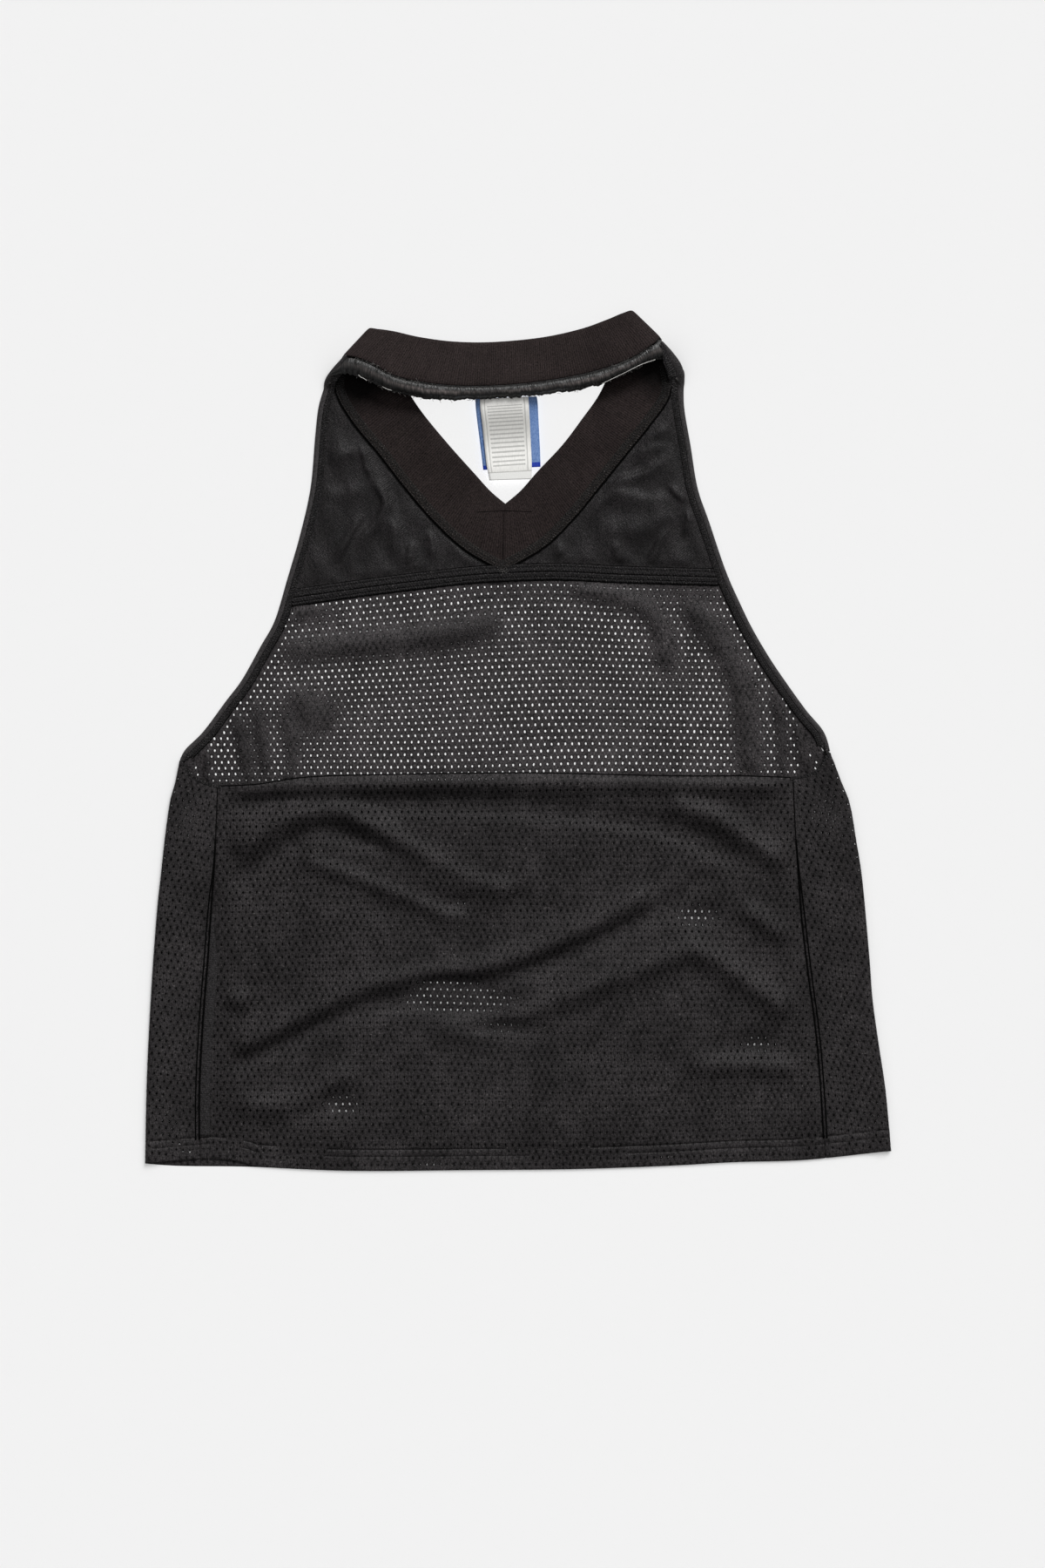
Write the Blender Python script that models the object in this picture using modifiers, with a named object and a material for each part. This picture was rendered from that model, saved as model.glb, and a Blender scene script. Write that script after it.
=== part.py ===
"""Halter top of black athletic mesh, laid flat on its front with its back up.

The cloth is a set of thin walls. Plans are in millimetres: +X to the right, +Y towards the neck, +Z up,
with the surface that the garment lies on at Z = 0. Left and right are those of the picture seen from above.
"""
import bisect
import math

import bpy

MM = 0.001
PLAN_CENTRE = (0.25, 0.23)  # middle of the laid outline below, in millimetres, which becomes the origin

# ---- Walls and gaps, in millimetres -----------------------------------------------------------------------
MESH_WALL = 1.2
SATIN_WALL = 1.0
RIB_WALL = 1.6
BAND_WALL = 1.0
LABEL_WALL = 1.0
SEAM_GAP = 0.3          # left open between two pieces that are sewn together, or that lie on each other
HEM_WIDTH = 7.0         # turned edge inside each armhole
HEM_SETBACK = 0.4       # of its outer edge behind the armhole's edge
HEM_REACH = {-1: (-3.0, 223.0), 1: (2.0, 221.0)}  # lowest and highest y of the turned edge, left and right
SEAM_BAND_WIDTH = 10.5  # stitched allowance over the yoke seam
TIP_RISE = 0.9          # by which that allowance climbs over the point of the rib band
TIP_RISE_WIDTH = 16.0

# ---- Outlines seen from above, in millimetres: (x, y) -----------------------------------------------------
SIDE_LEFT = ((-239.5, -271.5), (-238.5, -220.0), (-235.5, -160.5), (-232.0, -111.5), (-229.5, -87.5),
             (-226.5, -60.0), (-223.5, -39.0), (-220.0, -26.0), (-217.5, -13.0))
SIDE_RIGHT = ((240.0, -263.0), (236.5, -225.0), (232.0, -195.0), (228.0, -166.0), (226.0, -139.5),
              (221.5, -90.0), (217.5, -63.5), (213.5, -40.5), (207.5, -25.0), (201.0, -7.5))
ARMHOLE_LEFT = ((-217.5, -13.0), (-213.5, -5.5), (-202.0, 6.0), (-187.5, 25.5), (-177.0, 39.5), (-165.0, 61.0),
                (-156.0, 77.5), (-148.0, 104.0), (-139.5, 133.5), (-133.0, 163.0), (-130.0, 196.5),
                (-128.0, 214.0), (-124.5, 226.5))
ARMHOLE_RIGHT = ((201.0, -7.5), (196.5, 6.0), (185.0, 20.0), (171.0, 39.5), (161.0, 54.5), (150.5, 72.5),
                 (142.0, 90.0), (133.5, 109.5), (123.0, 140.5), (115.5, 162.5), (111.0, 189.5),
                 (107.0, 213.0), (106.5, 226.5))
BACK_TOP = ((-193.0, -29.5), (-168.5, -28.5), (-152.5, -26.0), (-131.5, -23.5), (-81.0, -22.0), (3.0, -21.0),
            (76.0, -22.5), (115.0, -23.0), (146.0, -23.0), (177.0, -24.0))
SIDE_TOP_LEFT = ((-193.0, -29.5), (-204.0, -26.0), (-211.0, -21.0), (-215.1, -14.0))
SIDE_TOP_RIGHT = ((177.0, -24.0), (189.0, -21.5), (195.5, -16.0), (198.6, -9.0))
BACK_SEAM_LEFT = ((-206.0, -268.2), (-206.0, -225.0), (-204.0, -184.5), (-200.5, -139.5), (-198.0, -106.0),
                  (-195.0, -75.5), (-193.0, -29.5))
BACK_SEAM_RIGHT = ((198.5, -267.0), (195.5, -218.0), (192.5, -184.5), (188.0, -151.0), (184.0, -117.5),
                   (180.5, -83.5), (178.5, -58.0), (177.0, -24.0))
FRONT_SEAM_LEFT = ((-209.0, -273.2), (-207.5, -167.5), (-204.5, -83.5), (-202.5, -25.0), (-202.0, 6.0))
FRONT_SEAM_RIGHT = ((197.0, -267.8), (192.5, -167.5), (188.0, -83.5), (184.5, -22.0), (185.0, 20.0))
HEM_FRONT = ((-239.5, -271.5), (-217.0, -273.0), (-174.0, -273.5), (-109.5, -276.0), (-23.0, -275.5),
             (34.0, -275.0), (92.5, -273.0), (138.5, -270.5), (185.0, -269.0), (240.0, -263.0))
HEM_BACK = ((-239.5, -271.0), (-220.0, -269.5), (-201.0, -268.0), (-189.0, -268.5), (-176.0, -270.5),
            (-165.5, -273.0), (-109.5, -276.0), (-23.0, -275.5), (34.0, -275.0), (92.5, -273.0),
            (138.5, -270.5), (185.0, -269.0), (240.0, -263.0))
YOKE_SEAM = ((-151.8, 91.0), (-120.0, 95.5), (-87.0, 100.0), (-36.0, 106.0), (-10.0, 107.8), (25.5, 108.8),
             (66.0, 107.0), (100.0, 106.0), (135.5, 105.0))

# ---- Neck band: stations round the ring, from the point of the V up the left leg, over the back, down the right.
# inner is the edge round the neck, outer is the seamed edge. Columns: inner x, y, z, outer x, y, z.
NECK_RING = (
    (-8.0, 152.5, 0.8, -10.0, 109.5, 0.8),
    (-17.5, 160.5, 0.8, -33.0, 122.5, 0.8),
    (-27.5, 171.5, 0.8, -53.0, 140.5, 0.8),
    (-44.5, 190.5, 0.8, -72.0, 162.5, 0.8),
    (-61.0, 210.5, 0.8, -89.0, 184.5, 0.8),
    (-72.0, 227.0, 0.8, -104.0, 202.5, 0.8),
    (-81.5, 242.5, 0.9, -115.0, 220.0, 0.9),
    (-89.0, 256.0, 1.4, -117.0, 232.0, 1.6),
    (-95.0, 264.3, 4.2, -113.0, 244.5, 7.0),
    (-89.5, 264.0, 7.0, -108.0, 246.0, 12.6),
    (-79.0, 262.5, 7.0, -95.5, 242.0, 14.4),
    (-63.0, 259.0, 5.8, -77.5, 232.8, 13.4),
    (-41.5, 256.3, 4.6, -48.5, 227.8, 11.6),
    (-16.5, 256.0, 4.0, -16.5, 227.3, 10.6),
    (14.5, 258.8, 4.4, 15.5, 230.0, 11.0),
    (39.5, 264.0, 5.4, 48.0, 236.0, 12.6),
    (56.5, 269.8, 6.6, 71.5, 244.0, 14.0),
    (67.5, 274.3, 7.0, 86.5, 253.5, 13.0),
    (73.3, 275.6, 4.2, 92.0, 257.0, 7.4),
    (69.5, 266.0, 1.4, 97.0, 238.0, 1.6),
    (61.0, 242.5, 0.9, 97.0, 221.5, 0.9),
    (52.5, 223.0, 0.8, 84.5, 203.0, 0.8),
    (41.0, 206.5, 0.8, 69.5, 184.5, 0.8),
    (28.5, 190.0, 0.8, 54.5, 166.0, 0.8),
    (13.0, 173.5, 0.8, 36.5, 144.0, 0.8),
    (2.0, 161.0, 0.8, 16.5, 124.5, 0.8),
    (-8.0, 152.5, 0.8, -10.0, 109.5, 0.8),
)
# Strip of yoke satin left under the back of the neck band, from shoulder to shoulder. Its upper edge follows
# the outer edge of the ring at the station given. Columns: ring station, lower edge x, y, z.
STRIP = (
    (7, -124.3, 227.2, 1.2),
    (8, -123.0, 232.5, 4.4),
    (9, -117.5, 234.5, 8.6),
    (10, -103.5, 233.5, 11.0),
    (11, -80.0, 223.5, 10.2),
    (12, -50.0, 218.5, 8.4),
    (13, -16.5, 219.5, 7.4),
    (14, 13.0, 221.5, 7.8),
    (15, 45.5, 226.0, 9.2),
    (16, 68.0, 234.5, 10.8),
    (17, 91.0, 244.5, 9.0),
    (18, 106.0, 238.8, 4.6),
    (19, 106.3, 227.2, 1.2),
)
STRIP_BULGE = 1.3
STRIP_GAP = 0.5         # wider than elsewhere, because strip and rib band lean differently at the turns

# ---- Folds: how the cloth is raised or creased along a line, in millimetres --------------------------------
# Columns: height (minus for a crease), half width, line as (x, y) points.
BACK_LOFT = 2.4         # height at which the middle of the back panel floats over the front
BACK_LOFT_EDGE = 34.0   # distance from hem and side seams over which it settles
SIDE_STRIP = 24.0       # width along each side edge that stays settled
CREASE_SOFTNESS = 0.3   # square of the height over which a crease flattens out on the front layer
HEM_FADE = 22.0         # distance above the hem over which the back's folds grow, from a little below it
HEM_FADE_START = -6.0
BACK_FOLDS = (
    (2.6, 6.5, ((-190, -33), (-120, -29), (0, -27), (110, -28), (176, -30))),
    (-1.9, 7.0, ((-189, -38), (-120, -39), (6, -43), (79, -52), (115, -63), (146, -80))),
    (3.0, 7.5, ((90, -38), (125, -49), (152, -66), (176, -84))),
    (3.6, 8.5, ((-186, -76), (-157, -53), (-121, -43), (-96, -54), (-67, -73), (-30, -94), (6, -100))),
    (-2.0, 6.5, ((-188, -97), (-150, -70), (-125, -58), (-89, -66), (-59, -80), (-23, -98), (13, -102))),
    (1.6, 5.5, ((-143, -75), (-110, -86), (-70, -102), (-30, -118))),
    (-2.0, 6.0, ((-188, -212), (-140, -190), (-96, -170), (-48, -164), (6, -148), (54, -128), (97, -106),
                 (130, -80))),
    (2.8, 7.5, ((-186, -200), (-140, -177), (-96, -157), (-46, -151), (6, -136), (50, -116), (90, -94))),
    (2.8, 8.0, ((-58, -184), (-28, -184), (8, -172), (62, -153), (98, -139), (116, -136), (146, -154),
                (180, -178))),
    (2.4, 7.0, ((137, -104), (160, -118), (178, -134))),
    (2.2, 7.5, ((-188, -234), (-140, -232), (-102, -206))),
    (2.2, 7.5, ((104, -210), (145, -208), (186, -212))),
    (1.8, 6.0, ((-190, -165), (-170, -168))),
)
FRONT_FOLDS = (
    (2.2, 6.0, ((-146, 74), (-85, 78), (-34, 84))),
    (1.8, 6.0, ((-154, 44), (-118, 55), (-50, 62))),
    (2.4, 6.5, ((62, 86), (90, 71), (101, 60), (117, 42))),
    (2.8, 6.0, ((132, 58), (144, 36), (149, -6), (151, -30))),
    (2.6, 5.5, ((158, 38), (168, 8), (173, -28))),
    (2.4, 5.5, ((-160, 42), (-152, 10), (-153, -30))),
    (2.2, 5.5, ((-182, 26), (-178, -2), (-176, -30))),
)
YOKE_FOLDS = (
    (1.6, 5.0, ((-88, 176), (-95, 143))),
    (1.8, 5.5, ((-118, 206), (-110, 178), (-108, 150))),
    (1.4, 5.0, ((-106, 122), (-96, 108))),
    (1.5, 5.0, ((-62, 140), (-56, 116))),
    (1.8, 5.5, ((97, 177), (78, 160), (54, 144))),
    (1.6, 5.0, ((100, 158), (82, 140), (64, 126))),
    (1.4, 5.0, ((104, 200), (94, 190))),
)
FOLDS_END = -48.0       # y under the back panel below which the front lies flat
FOLD_RUN_OUT = 26.0     # distances over which the front's folds die away
FOLD_TO_HEM = 14.0
FOLD_TO_SEAM = 9.0
LEAST_LIFT = 0.02
SIDE_RISE = 2.0         # extra height of the back layer where it turns round the side edge
SIDE_RISE_WIDTH = 12.0
FOLD_RADIUS = 1.8       # middle of the wall, where it turns round the side edge

# ---- Labels hanging from the strip. Columns: left x, y, right x, y, height of the wall's middle ------------
SIZE_LABEL = (
    (-27.2, 219.6, 12.2, 221.0, 4.6),
    (-27.0, 214.0, 12.8, 217.0, 3.7),
    (-26.0, 205.0, 13.2, 208.5, 2.7),
    (-24.6, 194.0, 13.8, 197.0, 2.5),
    (-23.0, 181.0, 14.4, 184.0, 2.5),
    (-22.2, 174.0, 14.6, 176.0, 2.6),
)
CARE_LABEL = (
    (-24.2, 219.2, 6.8, 220.8, 6.0),
    (-24.0, 213.0, 7.2, 215.0, 5.1),
    (-22.8, 203.0, 7.8, 205.0, 4.1),
    (-21.4, 190.0, 8.4, 192.0, 3.9),
    (-19.8, 176.0, 9.0, 178.0, 4.0),
    (-18.2, 167.2, 8.8, 168.0, 3.9),
)

# ---- Fineness of the walls: number of faces ---------------------------------------------------------------
BACK_COLUMNS, BACK_ROWS = 44, 27
FRONT_COLUMNS, FRONT_HIDDEN_ROWS, FRONT_OPEN_ROWS = 36, 8, 14
FRONT_HIDDEN_SHARE = 0.64
SIDE_ROWS, SIDE_BACK_COLUMNS, SIDE_TURN_COLUMNS, SIDE_FRONT_COLUMNS = 22, 4, 5, 4
YOKE_COLUMNS = 9
RING_STEPS, RING_COLUMNS = 3, 3
STRIP_STEPS, STRIP_COLUMNS = 3, 2
BAND_COLUMNS, BAND_SAMPLES, HEM_ROWS = 32, 400, 26
CURVE_STEPS = 12


def smooth(points, steps=CURVE_STEPS):
    """Points along a smooth curve through the given points, with steps between each two of them."""
    points = [tuple(p) for p in points]
    padded = [points[0]] + points + [points[-1]]
    line = []
    for a, b, c, d in zip(padded, padded[1:], padded[2:], padded[3:]):
        for i in range(steps):
            t = i / steps
            line.append(tuple(0.5 * (2 * q + (r - p) * t + (2 * p - 5 * q + 4 * r - s) * t ** 2
                                     + (3 * q - p - 3 * r + s) * t ** 3) for p, q, r, s in zip(a, b, c, d)))
    return line + [points[-1]]


def lengths(line):
    """Running length at each point of a line."""
    total = [0.0]
    for a, b in zip(line, line[1:]):
        total.append(total[-1] + math.dist(a, b))
    return total


def along(line, share):
    """Point at a share of a line's length."""
    total = lengths(line)
    target = share * total[-1]
    i = min(max(bisect.bisect_right(total, target) - 1, 0), len(line) - 2)
    t = (target - total[i]) / (total[i + 1] - total[i])
    return tuple(p + (q - p) * t for p, q in zip(line[i], line[i + 1]))


def span(line, low, high, axis):
    """Stretch of a line between two values of one coordinate that grows along it."""
    def cut(value):
        for a, b in zip(line, line[1:]):
            if a[axis] <= value <= b[axis]:
                t = (value - a[axis]) / (b[axis] - a[axis])
                return tuple(p + (q - p) * t for p, q in zip(a, b))
        return line[0] if value < line[0][axis] else line[-1]
    return [cut(low)] + [p for p in line if low < p[axis] < high] + [cut(high)]


def at_height(line, y):
    """x of a line that runs upwards, at height y in the plan."""
    return span(line, y, y + 1e-6, 1)[0][0]


def patch(bottom, top, left, right, columns, rows):
    """Grid of (x, y) filling four border lines. columns and rows are lists of shares from 0 to 1."""
    grid = []
    for t in rows:
        row = []
        for u in columns:
            b, c = along(bottom, u), along(top, u)
            d, e = along(left, t), along(right, t)
            row.append(tuple((1 - t) * b[k] + t * c[k] + (1 - u) * d[k] + u * e[k]
                             - (1 - u) * (1 - t) * bottom[0][k] - u * (1 - t) * bottom[-1][k]
                             - (1 - u) * t * top[0][k] - u * t * top[-1][k] for k in (0, 1)))
        grid.append(row)
    return grid


def shares(count):
    return [i / count for i in range(count + 1)]


def step_in(grid, sides, distance=SEAM_GAP / 2):
    """Moves the named border rows or columns of a grid inwards, to leave a seam's gap."""
    last_row, last_column = len(grid) - 1, len(grid[0]) - 1
    neighbours = {
        "left": [((i, 0), (i, 1)) for i in range(last_row + 1)],
        "right": [((i, last_column), (i, last_column - 1)) for i in range(last_row + 1)],
        "bottom": [((0, j), (1, j)) for j in range(last_column + 1)],
        "top": [((last_row, j), (last_row - 1, j)) for j in range(last_column + 1)],
    }
    for side in sides:
        for (i, j), (k, m) in neighbours[side]:
            p, q = grid[i][j], grid[k][m]
            t = distance / max(math.dist(p, q), distance)
            grid[i][j] = tuple(a + (b - a) * t for a, b in zip(p, q))
    return grid


def distance_to(line, x, y):
    """Shortest distance from a point to a line of straight pieces."""
    best = math.inf
    for (ax, ay), (bx, by) in zip(line, line[1:]):
        dx, dy = bx - ax, by - ay
        t = min(max(((x - ax) * dx + (y - ay) * dy) / (dx * dx + dy * dy), 0.0), 1.0)
        best = min(best, math.hypot(x - ax - dx * t, y - ay - dy * t))
    return best


def folds_height(folds, x, y):
    """Sum of the folds' heights at a point."""
    return sum(height * math.exp(-(distance_to(line, x, y) / width) ** 2) for height, width, line in folds)


def ease(value):
    """0 up to 0, 1 from 1, and smooth between."""
    value = min(max(value, 0.0), 1.0)
    return value * value * (3 - 2 * value)


SIDE_LINES = {-1: smooth(SIDE_LEFT), 1: smooth(SIDE_RIGHT)}
ARMHOLES = {-1: smooth(ARMHOLE_LEFT), 1: smooth(ARMHOLE_RIGHT)}
BACK_SEAMS = {-1: smooth(BACK_SEAM_LEFT), 1: smooth(BACK_SEAM_RIGHT)}
FRONT_SEAMS = {-1: smooth(FRONT_SEAM_LEFT), 1: smooth(FRONT_SEAM_RIGHT)}
HEM_FRONT_LINE = smooth(HEM_FRONT)
HEM_BACK_LINE = smooth(HEM_BACK)
BACK_TOP_LINE = smooth(BACK_TOP)
YOKE_SEAM_LINE = smooth(YOKE_SEAM)


def front_lift(x, y):
    """Height of the front's underside over the surface it lies on. Folds stop short of hems and seams."""
    lift = folds_height(FRONT_FOLDS + YOKE_FOLDS, x, y)
    if lift < LEAST_LIFT:
        return 0.0
    to_hem = min(distance_to(ARMHOLES[-1], x, y), distance_to(ARMHOLES[1], x, y))
    to_seam = distance_to(YOKE_SEAM_LINE, x, y)
    lift *= ease((to_hem - HEM_WIDTH - 1.0) / FOLD_TO_HEM)
    lift *= ease((to_seam - SEAM_BAND_WIDTH / 2 - 1.0) / FOLD_TO_SEAM)
    return lift * ease((y - FOLDS_END) / FOLD_RUN_OUT)


def front_middle(x, y, wall=MESH_WALL):
    return front_lift(x, y) + wall / 2


def back_middle(x, y):
    """Height of the middle of the back layer's wall, which always clears the front layer."""
    left, right = at_height(SIDE_LINES[-1], y), at_height(SIDE_LINES[1], y)
    inset = min(x - left, right - x)
    hem = span(HEM_BACK_LINE, x, x + 1e-6, 0)[0][1]
    settled = ease((inset - SIDE_STRIP) / BACK_LOFT_EDGE) * ease((y - hem) / BACK_LOFT_EDGE)
    lift = BACK_LOFT * settled + folds_height(BACK_FOLDS, x, y)
    # A soft floor: creases flatten out on the front layer and never reach into it.
    lift = 0.5 * (lift + math.sqrt(lift * lift + CREASE_SOFTNESS))
    fade_to_hem = ease((y - hem - HEM_FADE_START) / HEM_FADE)
    turn = SIDE_RISE * math.exp(-(inset / SIDE_RISE_WIDTH) ** 2)
    return MESH_WALL * 1.5 + SEAM_GAP + front_lift(x, y) + lift * fade_to_hem + turn


def with_height(grid, height):
    return [[(x, y, height(x, y)) for x, y in row] for row in grid]


def wall(name, rows, thickness, material, ring=False):
    """A cloth wall: an open surface through rows of points, thickened to both sides."""
    columns = len(rows[0])
    points = [((x - PLAN_CENTRE[0]) * MM, (y - PLAN_CENTRE[1]) * MM, z * MM) for row in rows for x, y, z in row]
    count = len(rows)
    faces = []
    for i in range(count if ring else count - 1):
        lower, upper = i * columns, (i + 1) % count * columns
        for j in range(columns - 1):
            faces.append((lower + j, lower + j + 1, upper + j + 1, upper + j))
    mesh = bpy.data.meshes.new(name)
    mesh.from_pydata(points, [], faces)
    mesh.shade_smooth()
    mesh.materials.append(material)
    piece = bpy.data.objects.new(name, mesh)
    GARMENT.objects.link(piece)
    thicken = piece.modifiers.new("cloth", "SOLIDIFY")
    thicken.thickness = thickness * MM
    thicken.offset = 0.0
    return piece


def srgb(*values):
    """Linear colour from the values 0 to 255 that a picture shows."""
    linear = [((v / 255 + 0.055) / 1.055) ** 2.4 if v > 10 else v / 255 / 12.92 for v in values]
    return (*linear, 1.0)


def cloth(name, colour, roughness):
    material = bpy.data.materials.new(name)
    material.use_nodes = True
    shader = material.node_tree.nodes["Principled BSDF"]
    shader.inputs["Base Color"].default_value = colour
    shader.inputs["Roughness"].default_value = roughness
    shader.inputs["Metallic"].default_value = 0.0
    material.diffuse_color = colour
    return material


def front_body():
    """Front panel, from hem to yoke seam, between the two side panels."""
    borders = {}
    for side in (-1, 1):
        corner_y = FRONT_SEAMS[side][-1][1]
        seam_end_y = YOKE_SEAM_LINE[0 if side < 0 else -1][1]
        borders[side] = FRONT_SEAMS[side][:-1] + span(ARMHOLES[side], corner_y, seam_end_y, 1)
    hem = span(HEM_FRONT_LINE, FRONT_SEAMS[-1][0][0], FRONT_SEAMS[1][0][0], 0)
    rows = [FRONT_HIDDEN_SHARE * t for t in shares(FRONT_HIDDEN_ROWS)[:-1]]
    rows += [FRONT_HIDDEN_SHARE + (1 - FRONT_HIDDEN_SHARE) * t for t in shares(FRONT_OPEN_ROWS)]
    grid = patch(hem, YOKE_SEAM_LINE, borders[-1], borders[1], shares(FRONT_COLUMNS), rows)
    step_in(grid, ("left", "right", "top"))
    wall("front_body", with_height(grid, front_middle), MESH_WALL, MESH)


def back_body():
    """Low straight-topped back panel, between the two side panels."""
    hem = span(HEM_BACK_LINE, BACK_SEAMS[-1][0][0], BACK_SEAMS[1][0][0], 0)
    grid = patch(hem, BACK_TOP_LINE, BACK_SEAMS[-1], BACK_SEAMS[1], shares(BACK_COLUMNS), shares(BACK_ROWS))
    step_in(grid, ("left", "right"))
    wall("back_body", with_height(grid, back_middle), MESH_WALL, MESH)


def side_panel(name, side):
    """Side panel: from the back seam round the side edge to the front seam, in one piece."""
    inset = FOLD_RADIUS + MESH_WALL / 2
    turn_line = [(x - side * inset, y) for x, y in SIDE_LINES[side]]
    top_back = smooth(SIDE_TOP_LEFT if side < 0 else SIDE_TOP_RIGHT)
    turn_top = top_back[-1]
    turn_line = [p for p in turn_line if p[1] < turn_top[1] - FOLD_RADIUS] + [turn_top]
    hem_y = {"back": span(HEM_BACK_LINE, turn_line[0][0], turn_line[0][0] + 1e-6, 0)[0][1],
             "front": span(HEM_FRONT_LINE, turn_line[0][0], turn_line[0][0] + 1e-6, 0)[0][1]}
    back_corner, front_corner = BACK_SEAMS[side][0], FRONT_SEAMS[side][0]
    back_grid = patch([back_corner, (turn_line[0][0], hem_y["back"])], top_back, BACK_SEAMS[side], turn_line,
                      shares(SIDE_BACK_COLUMNS), shares(SIDE_ROWS))
    seam_top = FRONT_SEAMS[side][-1]
    top_front = [turn_top] + [p for p in ARMHOLES[side] if turn_top[1] + FOLD_RADIUS < p[1] < seam_top[1]]
    top_front.append(seam_top)
    front_grid = patch([(turn_line[0][0], hem_y["front"]), front_corner], top_front, turn_line,
                       FRONT_SEAMS[side], shares(SIDE_FRONT_COLUMNS), shares(SIDE_ROWS))
    step_in(back_grid, ("left",))
    step_in(front_grid, ("right",))
    rows = []
    for back_row, front_row in zip(with_height(back_grid, back_middle), with_height(front_grid, front_middle)):
        (x, y, high), low = back_row[-1], front_row[0][2]
        radius = (high - low) / 2
        turn = []
        for step in range(1, SIDE_TURN_COLUMNS):
            angle = math.pi * step / SIDE_TURN_COLUMNS
            turn.append((x + side * FOLD_RADIUS * math.sin(angle), y, low + radius + radius * math.cos(angle)))
        rows.append(back_row + turn + front_row)
    wall(name, rows, MESH_WALL, MESH)


def ring_rails():
    """The neck ring's inner and outer edges as smooth lines in space."""
    rails = (smooth([row[:3] for row in NECK_RING], RING_STEPS),
             smooth([row[3:] for row in NECK_RING], RING_STEPS))
    return [[(x, y, max(z, RIB_WALL / 2)) for x, y, z in rail] for rail in rails]


def yoke(name, side):
    """Satin yoke between armhole, V seam and yoke seam, up to the shoulder fold."""
    _, outer = ring_rails()
    turn = STRIP[0][0] if side < 0 else STRIP[-1][0]
    if side < 0:
        v_seam = [p[:2] for p in outer[:turn * RING_STEPS + 1]]
    else:
        v_seam = [p[:2] for p in outer[turn * RING_STEPS:]][::-1]
    armhole_top = ARMHOLES[side][-1]
    seam_end = YOKE_SEAM_LINE[0 if side < 0 else -1]
    armhole = span(ARMHOLES[side], seam_end[1], armhole_top[1], 1)
    tip = v_seam[0]
    # The rows meet the rib band at its own sections, so that the two edges run side by side.
    run = lengths(v_seam)
    rows = [length / run[-1] for length in run]
    if side < 0:
        seam = span(YOKE_SEAM_LINE, seam_end[0], tip[0], 0)
        seam[-1] = tip
        grid = patch(seam, [armhole_top, v_seam[-1]], armhole, v_seam, shares(YOKE_COLUMNS), rows)
        step_in(grid, ("right", "bottom", "top"))
    else:
        seam = span(YOKE_SEAM_LINE, tip[0], seam_end[0], 0)
        seam[0] = tip
        grid = patch(seam, [v_seam[-1], armhole_top], v_seam, armhole, shares(YOKE_COLUMNS), rows)
        step_in(grid, ("left", "bottom", "top"))
    wall(name, with_height(grid, lambda x, y: front_middle(x, y, SATIN_WALL)), SATIN_WALL, SATIN)


def neck_rib():
    """Rib band round the neck: flat in the V, turned over at the shoulders, standing at the back."""
    inner, outer = ring_rails()
    rows = [[tuple(a + (b - a) * u for a, b in zip(p, q)) for u in shares(RING_COLUMNS)]
            for p, q in zip(inner[:-1], outer[:-1])]
    step_in(rows, ("right",))
    wall("neck_rib", rows, RIB_WALL, RIB, ring=True)


def back_neck_strip():
    """Strip of satin left along the back of the rib band, cut off raw, and its two turns at the shoulders."""
    _, outer = ring_rails()
    first, last = STRIP[0][0], STRIP[-1][0]
    upper = outer[first * RING_STEPS:last * RING_STEPS + 1]
    lower = smooth([row[1:] for row in STRIP], STRIP_STEPS)
    rows = []
    for p, q in zip(upper, lower):
        row = []
        for u in shares(STRIP_COLUMNS):
            x, y, z = (a + (b - a) * u for a, b in zip(p, q))
            row.append((x, y, z + STRIP_BULGE * math.sin(math.pi * u)))
        rows.append(row)
    step_in(rows, ("left",), STRIP_GAP)
    step_in(rows, ("top", "bottom"))
    wall("back_neck_strip", rows, SATIN_WALL, SATIN)


def yoke_seam_band():
    """Stitched seam allowance that lies over the seam of yoke and front panel."""
    half = SEAM_BAND_WIDTH / 2

    def clear_of_hems(point):
        return all(distance_to(ARMHOLES[side], point[0], point[1] + offset) > HEM_WIDTH + 2 * SEAM_GAP
                   for side in (-1, 1) for offset in (-half, half))

    line = [p for p in (along(YOKE_SEAM_LINE, u) for u in shares(BAND_SAMPLES)) if clear_of_hems(p)]
    tip_x, tip_y = NECK_RING[0][3:5]
    rows = []
    for offset in (-half, 0.0, half):
        row = []
        for u in shares(BAND_COLUMNS):
            x, y = along(line, u)
            y += offset
            over_tip = TIP_RISE * math.exp(-(math.hypot(x - tip_x, y - tip_y) / TIP_RISE_WIDTH) ** 2)
            height = MESH_WALL + SEAM_GAP + BAND_WALL / 2 + front_lift(x, y) + over_tip
            row.append((x, y, height))
        rows.append(row)
    wall("yoke_seam_band", rows, BAND_WALL, SATIN)


def armhole_hem(name, side):
    """Turned and overlocked edge inside the armhole, on the yoke, the front and the side panel."""
    edge = span(ARMHOLES[side], *HEM_REACH[side], 1)
    nearby = 0.5 / HEM_ROWS
    rows = []
    for t in shares(HEM_ROWS):
        x, y = along(edge, t)
        ahead, behind = along(edge, min(t + nearby, 1.0)), along(edge, max(t - nearby, 0.0))
        dx, dy = ahead[0] - behind[0], ahead[1] - behind[1]
        size = math.hypot(dx, dy)
        inward = (-side * dy / size, side * dx / size)
        row = []
        for reach in (HEM_SETBACK, HEM_WIDTH / 2, HEM_WIDTH):
            px, py = x + inward[0] * reach, y + inward[1] * reach
            row.append((px, py, MESH_WALL + SEAM_GAP + BAND_WALL / 2 + front_lift(px, py)))
        rows.append(row)
    wall(name, rows, BAND_WALL, MESH)


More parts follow.
